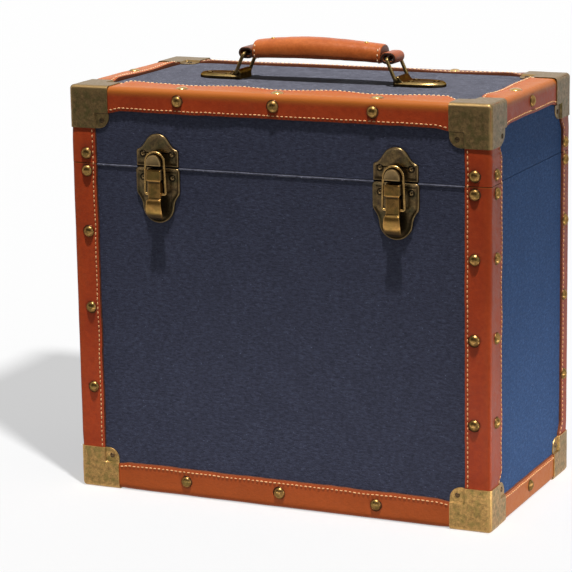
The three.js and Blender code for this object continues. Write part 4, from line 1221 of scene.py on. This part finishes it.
# The bent wire, with its height and width from its CAD node.
def bailPiece(side, toPoint):
    low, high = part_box(f"latch_{side}_bail")
    wire, sides = (high.y - low.y) / 2, 14
    out = boardLow.y - (low.y + high.y) / 2
    foot, top = low.z + wire - seam, high.z - wire - seam
    half = (high.x - low.x) / 2 - wire
    arch, knee = half - 1 * mm, foot + 2.2 * mm
    quarter = 0.5523 * arch  # how long a curve's handles are for a quarter circle
    right = [(3.5 * mm, foot), (half - 2 * mm, foot)]
    right += bezier(right[-1], (half - 0.4 * mm, foot), (half, foot + 0.4 * mm), (half, knee), 5)
    right += [(half + (arch - half) * k / 6, knee + (top - arch - knee) * k / 6) for k in range(1, 7)]
    right += bezier(right[-1], (arch, top - arch + quarter), (quarter, top), (0, top), 10)
    path = [toPoint(x, z, out) for x, z in right] + [toPoint(-x, z, out) for x, z in right[-2::-1]]
    # The wire is lightened at the top of its arch and at its turned-in ends, a painted highlight.
    wear = []
    for i in range(len(path)):
        end = 0.7 if min(i, len(path) - 1 - i) < 3 else 0
        wear += [min(1.0, 0.25 + 0.6 * max(0, 1 - abs(i - len(path) / 2) / 9) + end)] * sides
    builder = Builder()
    builder.add(*tube(path, wire, sides), wear=wear)
    addMetal(f"latch_{side}_bail", "wire", builder, "bail", f"{side}_bail", 50)


# The leatherette's fold along the body's rim, between the uprights and the latch plates, in mm
foldSize = {
    "profile": [
        (-0.05, -2.1), (0.45, -1.95), (0.78, -1.55), (0.85, -1.05), (0.66, -0.55), (0.3, -0.3),
        (-0.05, -0.25),
    ],
    "besideLatch": 18 * mm,
    "step": 4 * mm,
    "swell": 0.12,
    "wave": 14 * mm,
}


def makeFold():
    beside = foldSize["besideLatch"]
    latchEnds = [-latchOut - beside, -latchOut + beside, latchOut - beside, latchOut + beside]
    stops = [boardLow.x + flange / 2, *latchEnds, boardHigh.x - flange / 2]
    builder = Builder()
    for low, high in zip(stops[::2], stops[1::2]):
        count = max(2, round((high - low) / foldSize["step"]))
        rings = []
        for k in range(count + 1):
            x = low + (high - low) * k / count
            swell = 1 + foldSize["swell"] * noise.noise((x / foldSize["wave"], 3.1, 0))
            profile = foldSize["profile"]
            rings.append([Vector((x, boardLow.y - out * swell * mm, seam + z * mm)) for out, z in profile])
        builder.add(*loft(rings))
    # The fold wears the top's paler copy of the leatherette, a painted highlight along it.
    addPiece("body_rim_fold", builder, ["top"], "body", sharp=60)


def makeLatches():
    for side, sign in leftRight:
        toPoint = frontPlace(sign * latchOut)
        for makePiece in (strikePiece, basePiece, leverPiece, bailPiece):
            makePiece(side, toPoint)


# Handle: end plates, rings, strap loops and the padded grip

# Distances out are from the case's middle, heights from its top
plateSize = {
    "height": 4.2 * mm,
    "screw": 2.4 * mm,
    "screws": ((81.5 * mm, -0.5), (81.5 * mm, 0.5), (101 * mm, 0)),  # out, and the share of the half width
    "neck": 75 * mm,
    "straight": 88 * mm,
    "shoulder": 101 * mm,
    "pivotOut": 71 * mm,
    "knuckle": 3.1 * mm,
    "knuckleHalf": 11.2 * mm,
}
ringSize = {"wire": 1.5 * mm, "bend": 3.2 * mm, "sides": 14}
strapSize = {
    "thickness": 2.6 * mm,
    "near": 56.4 * mm,
    "sides": 28,
    # the left loop is darkened all over, painted shade
    "grime": {"left": 0.62, "right": 0.0},
    "tongue": (46.6 * mm, 58 * mm),
    "tongueHalf": 1.15 * mm,
}
gripSize = {
    "rows": 72,
    "sides": 44,
    "crest": -0.12,
    "crestPower": 1.7,
    "topLoss": 0.7 * mm,
    "endTop": 33 * mm,
    "under": 18.9 * mm,
    "underLoss": 1.3 * mm,
    "half": 13 * mm,
    "halfLoss": 2.5 * mm,
    "rim": 1.6 * mm,
    "waist": 0.36,
    "soft": 0.22 * mm,
    "halfLength": 56 * mm,
    "stud": 0.74,
    "studShape": [(0.01, -0.8), (2, -0.8), (2, 0.15), (1.7, 0.5), (1, 0.72), (0.01, 0.8)],
    "seam": 2.4 * mm,
    "seamLift": 0.12 * mm,
    "seams": ((150, 265), (-85, 35)),
}
gripLow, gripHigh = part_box("handle_grip")


def handlePlace(sign):
    return lambda a, y, h: Vector((sign * a, sign * y, topFace + h))


def endPlatePiece(side, sign):
    toPoint = handlePlace(sign)
    size = plateSize
    low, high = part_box("handle_right_end_plate")
    tip, half, inner = high.x, high.y, low.x + 0.3 * mm
    neck, knuckle, pivotOut, height = (size[key] for key in ("neck", "knuckle", "pivotOut", "height"))
    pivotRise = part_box("handle_right_ring")[0].z + ringSize["wire"] - topFace
    outline = [(inner, -half * 0.9), (neck, -half), (size["straight"], -half)]
    outline += bezier(outline[-1], (size["shoulder"], -half), (tip, -half * 0.55), (tip, 0), 12)
    outline += [(x, -y) for x, y in outline[-2::-1]]
    levels = [
        (0, 0.05 * mm, 0, 0.9), (0, 0.9 * mm, 0, 0.8), (0, height - 2.1 * mm, 0, 0.5),
        (0.25 * mm, height - 1.6 * mm, 0.6, 0), (0.9 * mm, height - 1 * mm, 0.1, 0),
        (1.7 * mm, height - 0.2 * mm, 0.1, 0.1), (2.2 * mm, height, 0.35, 0),
        (2.9 * mm, height - 0.1 * mm, 0.1, 0.2), (4 * mm, height - 0.35 * mm, 0, 0.1),
    ]
    builder = Builder()
    stamp(builder, outline, levels, toPoint)
    for out, across in size["screws"]:
        screwHead(builder, toPoint, out, half * across, height - 0.35 * mm, size["screw"])
    turns = [math.radians(t) for t in range(20, 215, 15)]
    curl = [(neck + 2 * mm, height - 0.6 * mm), (neck, height + 0.5 * mm)]
    curl += [(pivotOut + knuckle * math.cos(turn), pivotRise + knuckle * math.sin(turn)) for turn in turns]
    curl += [(pivotOut - knuckle, 0.1 * mm), (neck + 2 * mm, 0.1 * mm)]
    sideways = lambda out, h, y: toPoint(out, y, h)
    slab(builder, curl, -size["knuckleHalf"], size["knuckleHalf"], sideways, 0.4 * mm, -0.35, 0.45)
    addMetal(f"handle_{side}_end_plate", "metal", builder, "fitting", "lid", 36)


# A loop through its corners, each bent round.
def roundedLoop(corners, bend, steps=5):
    path = []
    count = len(corners)
    for i, corner in enumerate(corners):
        before, after = Vector(corners[i - 1]), Vector(corners[(i + 1) % count])
        corner = Vector(corner)
        start = corner + (before - corner).normalized() * bend
        end = corner + (after - corner).normalized() * bend
        for k in range(steps + 1):
            path.append(start.lerp(corner, k / steps).lerp(corner.lerp(end, k / steps), k / steps))
        path += [end.lerp(after + (corner - after).normalized() * bend, k / 4) for k in range(1, 4)]
    return path


def ringPiece(side, sign):
    low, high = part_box(f"handle_{side}_ring")
    wire = ringSize["wire"]
    head, foot = (low.x + wire, high.x - wire)[::sign]
    front, back = low.y + wire, high.y - wire
    corners = [(foot, front, low.z + wire), (foot, back, low.z + wire),
               (head, back, high.z - wire), (head, front, high.z - wire)]
    builder = Builder()
    builder.add(*closedTube(roundedLoop(corners, ringSize["bend"]), wire, ringSize["sides"]), wear=0.15)
    addMetal(f"handle_{side}_ring", "wire", builder, "fitting", f"{side}_ring", 50)


# An oval loop of strap round the ring, with a tongue that runs into the grip.
def loopPiece(side, sign):
    toPoint = handlePlace(sign)
    low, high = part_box("handle_right_strap_loop")
    thick, sides = strapSize["thickness"], strapSize["sides"]
    half, middle = high.y, (low.z + high.z) / 2 - topFace
    radius = (high.z - low.z) / 2 - thick / 2
    near, far = strapSize["near"] + thick / 2 + radius, high.x - thick / 2 - radius
    line = []
    for centre, start in ((far, -0.5), (near, 0.5)):
        for turn in np.linspace(start * math.pi, (start + 1) * math.pi, 13):
            line.append((centre + radius * math.cos(turn), middle + radius * math.sin(turn)))
    section = []
    for k in range(sides):
        c, s = math.cos(2 * math.pi * k / sides), math.sin(2 * math.pi * k / sides)
        section.append((half * squared(c, 0.16), thick / 2 * squared(s, 0.45), abs(c)))
    points, grime = [], []
    for i, (a, h) in enumerate(line):
        before, after = line[i - 1], line[(i + 1) % len(line)]
        along = Vector((after[0] - before[0], after[1] - before[1])).normalized()
        points += [toPoint(a + along.y * t, y, h - along.x * t) for y, t, _ in section]
        # The left loop is darkened all over as painted shade, and each loop's edges are darker.
        grime += [max(strapSize["grime"][side], smoothStep(edge, 0.75, 0.95)) for _, _, edge in section]
    builder = Builder()
    builder.add(points, gridFaces(len(line), sides, True, True), grime=grime)
    (start, end), thin = strapSize["tongue"], strapSize["tongueHalf"]
    tongue = [(start, -thin), (end, -thin), (end, thin), (start, thin)]
    sideways = lambda out, h, y: toPoint(out, y, middle + h)
    slab(builder, tongue, thick - half, half - thick, sideways, 0.3 * mm)
    name = f"handle_{side}_strap_loop"
    addPiece(name + "_leather", builder, ["strap"], "grip", [name], 50)


# Half width, top and underside of the grip at a share of its half length.
def gripSection(share):
    size, bow = gripSize, share * share
    crest = abs(share - size["crest"] * (1 - bow)) ** size["crestPower"]
    top = gripHigh.z - size["topLoss"] + (topFace + size["endTop"] - gripHigh.z) * crest
    return size["half"] - size["halfLoss"] * bow, top, topFace + size["under"] - size["underLoss"] * bow


def gripPoint(share, turn, swell=0.0):
    length = (gripHigh.x - gripLow.x) / 2
    half, top, under = gripSection(share)
    rim = min(1.0, (1 - abs(share)) * length / gripSize["rim"])
    fill = 1 - 0.12 * (1 - math.sqrt(max(0.0, 1 - (1 - rim) ** 2)))
    waist = under + (top - under) * gripSize["waist"]
    c, s = math.cos(turn), math.sin(turn)
    power = 0.86 if s > 0 else 0.55
    y = half * fill * squared(c, power)
    z = waist + (top - waist if s > 0 else waist - under) * fill * squared(s, power)
    soft = gripSize["soft"] * noise.noise((share * 9, c * 1.3, s * 1.3)) * rim
    return Vector((share * length * 1.02 - 0.4 * mm, y, z)) + Vector((0, c, s)) * (swell + soft)


def gripPiece():
    rows, sides = gripSize["rows"], gripSize["sides"]
    builder = Builder()
    rings, grime = [], []
    for i in range(rows + 1):
        share = squared(-math.cos(math.pi * i / rows), 0.8)
        rings.append([gripPoint(share, 2 * math.pi * j / sides) for j in range(sides)])
        grime += [0.8 * smoothStep(abs(share), 0.988, 1)] * sides
    builder.add(*loft(rings), grime=grime)
    for sign in (-1, 1):
        share = sign * gripSize["stud"]
        spot = (share * gripSize["halfLength"], -2 * mm, gripSection(share)[1] + 0.02 * mm)
        # the studs are lightened, a painted highlight
        builder.add(*lathe(scaled(gripSize["studShape"]), 18), 1, Matrix.Translation(spot), wear=0.9)
    name = "handle_grip"
    grip = addPiece(name + "_leather", builder, ["handle", "tack"], "grip", [name], 60)


def gripStitches(group):
    lines = []
    for sign in (-1, 1):
        share = sign * (1 - gripSize["seam"] / gripSize["halfLength"])
        for start, end in gripSize["seams"]:
            turns = [math.radians(t) for t in range(start, end, 6)]
            lines.append([gripPoint(share, turn, gripSize["seamLift"]) for turn in turns])
    values = {"Thread": looks["thread"], "Seed": 11, "Pitch": 3.4 * mm, "Length": 2.3 * mm}
    seams = lineMesh("gripSeams", lines)
    grow("handle_grip_stitches", seams, group, values, looks["thread"], "grip")


def makeHandle(group):
    for side, sign in leftRight:
        for makePiece in (endPlatePiece, ringPiece, loopPiece):
            makePiece(side, sign)
    gripPiece()
    gripStitches(group)


dressBoards()
print("boards dressed")
stitches = makeBinding()
print("binding made")
makeCaps()
print("caps made")
makeFold()
makeLatches()
print("latches made")
makeHandle(stitches)
print("handle made")


# Camera, light and floor

cameraSize = {
    "place": (0.81671, -1.8589, 0.61533),
    "yaw": -24.609,
    "pitch": 12.472,
    "roll": -0.95,
    "lens": 156.95,
    "sensor": 36,
}
cardSize = {"radius": 2.9, "from": -150, "to": -52, "low": 0.02, "high": 2.6, "steps": 24}
sunSize = {
    "key": {"towards": (0.06, -0.21, 1), "strength": 4.75, "softness": 2.5, "tone": (1, 0.97, 0.92)},
    "side": {"towards": (1, -0.05, 0.35), "strength": 0.24, "softness": 9, "tone": (0.85, 0.93, 1)},
    "spread": {"towards": (0.79, -0.63, 1), "strength": 2.7, "softness": 5, "tone": (1, 1, 1)},
}
lampSize = {
    "frontFoot": {
        "place": (0, -0.3, 0.02),
        "towards": (0, 1, 0.1),
        "size": (0.5, 0.04),
        "power": 0.25,
        "tone": (1, 0.98, 0.95),
    },
    "sideFoot": {
        "place": (0.38, 0, 0.02),
        "towards": (-1, 0, 0.1),
        "size": (0.3, 0.04),
        "power": 0.42,
        "tone": (1, 0.98, 0.97),
    },
}


def aimCamera():
    yaw, pitch, roll = (math.radians(cameraSize[key]) for key in ("yaw", "pitch", "roll"))
    ahead = Vector((math.sin(yaw) * math.cos(pitch), math.cos(yaw) * math.cos(pitch), -math.sin(pitch)))
    right = ahead.cross(Vector((0, 0, 1))).normalized()
    up = right.cross(ahead)
    turnedRight = right * math.cos(roll) + up * math.sin(roll)
    turnedUp = up * math.cos(roll) - right * math.sin(roll)
    data = bpy.data.cameras.new("camera")
    data.lens = cameraSize["lens"]
    data.sensor_width = cameraSize["sensor"]
    data.clip_end = 50
    camera = bpy.data.objects.new("camera", data)
    turn = Matrix((turnedRight, turnedUp, -ahead)).transposed()
    camera.matrix_world = Matrix.Translation(cameraSize["place"]) @ turn.to_4x4()
    scene.collection.objects.link(camera)
    scene.camera = camera


def addStagePiece(name, points, faces, material):
    mesh = bpy.data.meshes.new(name)
    mesh.from_pydata(points, [], faces)
    mesh.materials.append(material)
    piece = bpy.data.objects.new(name, mesh)
    scene.collection.objects.link(piece)
    return piece


# 1 on rays that show the background: camera, glossy and transmission.
def seenRays(graph):
    rays = graph.add("ShaderNodeLightPath")
    seen = rays["Is Camera Ray"]
    for kind in ("Is Glossy Ray", "Is Transmission Ray"):
        seen = graph.add("ShaderNodeMath", {0: seen, 1: rays[kind]}, operation="MAXIMUM")[0]
    return seen


# The floor looks white to the camera, and lights the case less than that.
def addFloor():
    half = 12.0
    look = Look("paleFloor", Roughness=0.95, Specular_IOR_Level=0.0, Emission_Color=(1, 1, 1, 1))
    seen = seenRays(look)
    glow = look.add("ShaderNodeMapRange", {"Value": seen, "To Max": 0.5})
    tone = look.add("ShaderNodeMapRange", {"Value": seen, "To Min": 0.25, "To Max": 0.6})
    look.feed(look.shader["Emission Strength"], glow[0])
    look.feed(look.shader["Base Color"], tone[0])
    corners = [(-half, -half, 0), (half, -half, 0), (half, half, 0), (-half, half, 0)]
    return addStagePiece("floor", corners, [(0, 1, 2, 3)], look.material)


def addWorld():
    world = bpy.data.worlds.new("studio")
    scene.world = world
    world.use_nodes = True
    graph = Graph(world.node_tree)
    strength = graph.add("ShaderNodeMapRange", {"Value": seenRays(graph), "To Min": 0.22})
    background = world.node_tree.nodes["Background"].inputs
    graph.feed(background["Strength"], strength[0])
    graph.feed(background["Color"], (1, 1, 1, 1))


# A dark card stands beyond the camera, as in the studio, and keeps the front in soft shade.
def addCard():
    size = cardSize
    points = []
    for z in (size["low"], size["high"]):
        for k in range(size["steps"] + 1):
            turn = math.radians(size["from"] + (size["to"] - size["from"]) * k / size["steps"])
            points.append((size["radius"] * math.cos(turn), size["radius"] * math.sin(turn), z))
    look = Look("darkCard", Base_Color=(0.03, 0.03, 0.03, 1))
    card = addStagePiece("shadeCard", points, gridFaces(2, size["steps"] + 1), look.material)
    card.visible_camera = False
    return card


# A sun shines from its direction and a strip towards it, so each turns its own side there.
def addLamp(name, data, tone, towards, facing):
    data.color = tone
    lamp = bpy.data.objects.new(name, data)
    lamp.rotation_mode = "QUATERNION"
    lamp.rotation_quaternion = Vector(towards).to_track_quat(facing, "Y")
    scene.collection.objects.link(lamp)
    return lamp


def addSun(name):
    size = sunSize[name]
    data = bpy.data.lights.new(name, "SUN")
    data.energy = size["strength"]
    data.angle = math.radians(size["softness"])
    return addLamp(name, data, size["tone"], size["towards"], "Z")


# A low strip lamp at the floor, which lifts the foot of the face that it looks at.
def addLowLamp(name):
    size = lampSize[name]
    data = bpy.data.lights.new(name, "AREA")
    data.shape = "RECTANGLE"
    data.size, data.size_y = size["size"]
    data.energy = size["power"]
    lamp = addLamp(name, data, size["tone"], size["towards"], "-Z")
    lamp.location = size["place"]
    lamp.visible_camera = False
    return lamp


def linked(name, piece, state):
    group = bpy.data.collections.new(name)
    group.objects.link(piece)
    group.collection_objects[0].light_linking.link_state = state
    return group


aimCamera()
floor = addFloor()
addWorld()
card = addCard()
lamps = [addSun(name) for name in sunSize] + [addLowLamp(name) for name in lampSize]
for lamp in lamps:  # the spread lights the floor alone, past the card, and the others all but the floor
    spreads = lamp.name == "spread"
    state = "INCLUDE" if spreads else "EXCLUDE"
    lamp.light_linking.receiver_collection = linked(lamp.name + "Lit", floor, state)
    if spreads:
        lamp.light_linking.blocker_collection = linked("spreadPassed", card, "EXCLUDE")
scene.view_settings.view_transform = "Standard"
print("stage set")
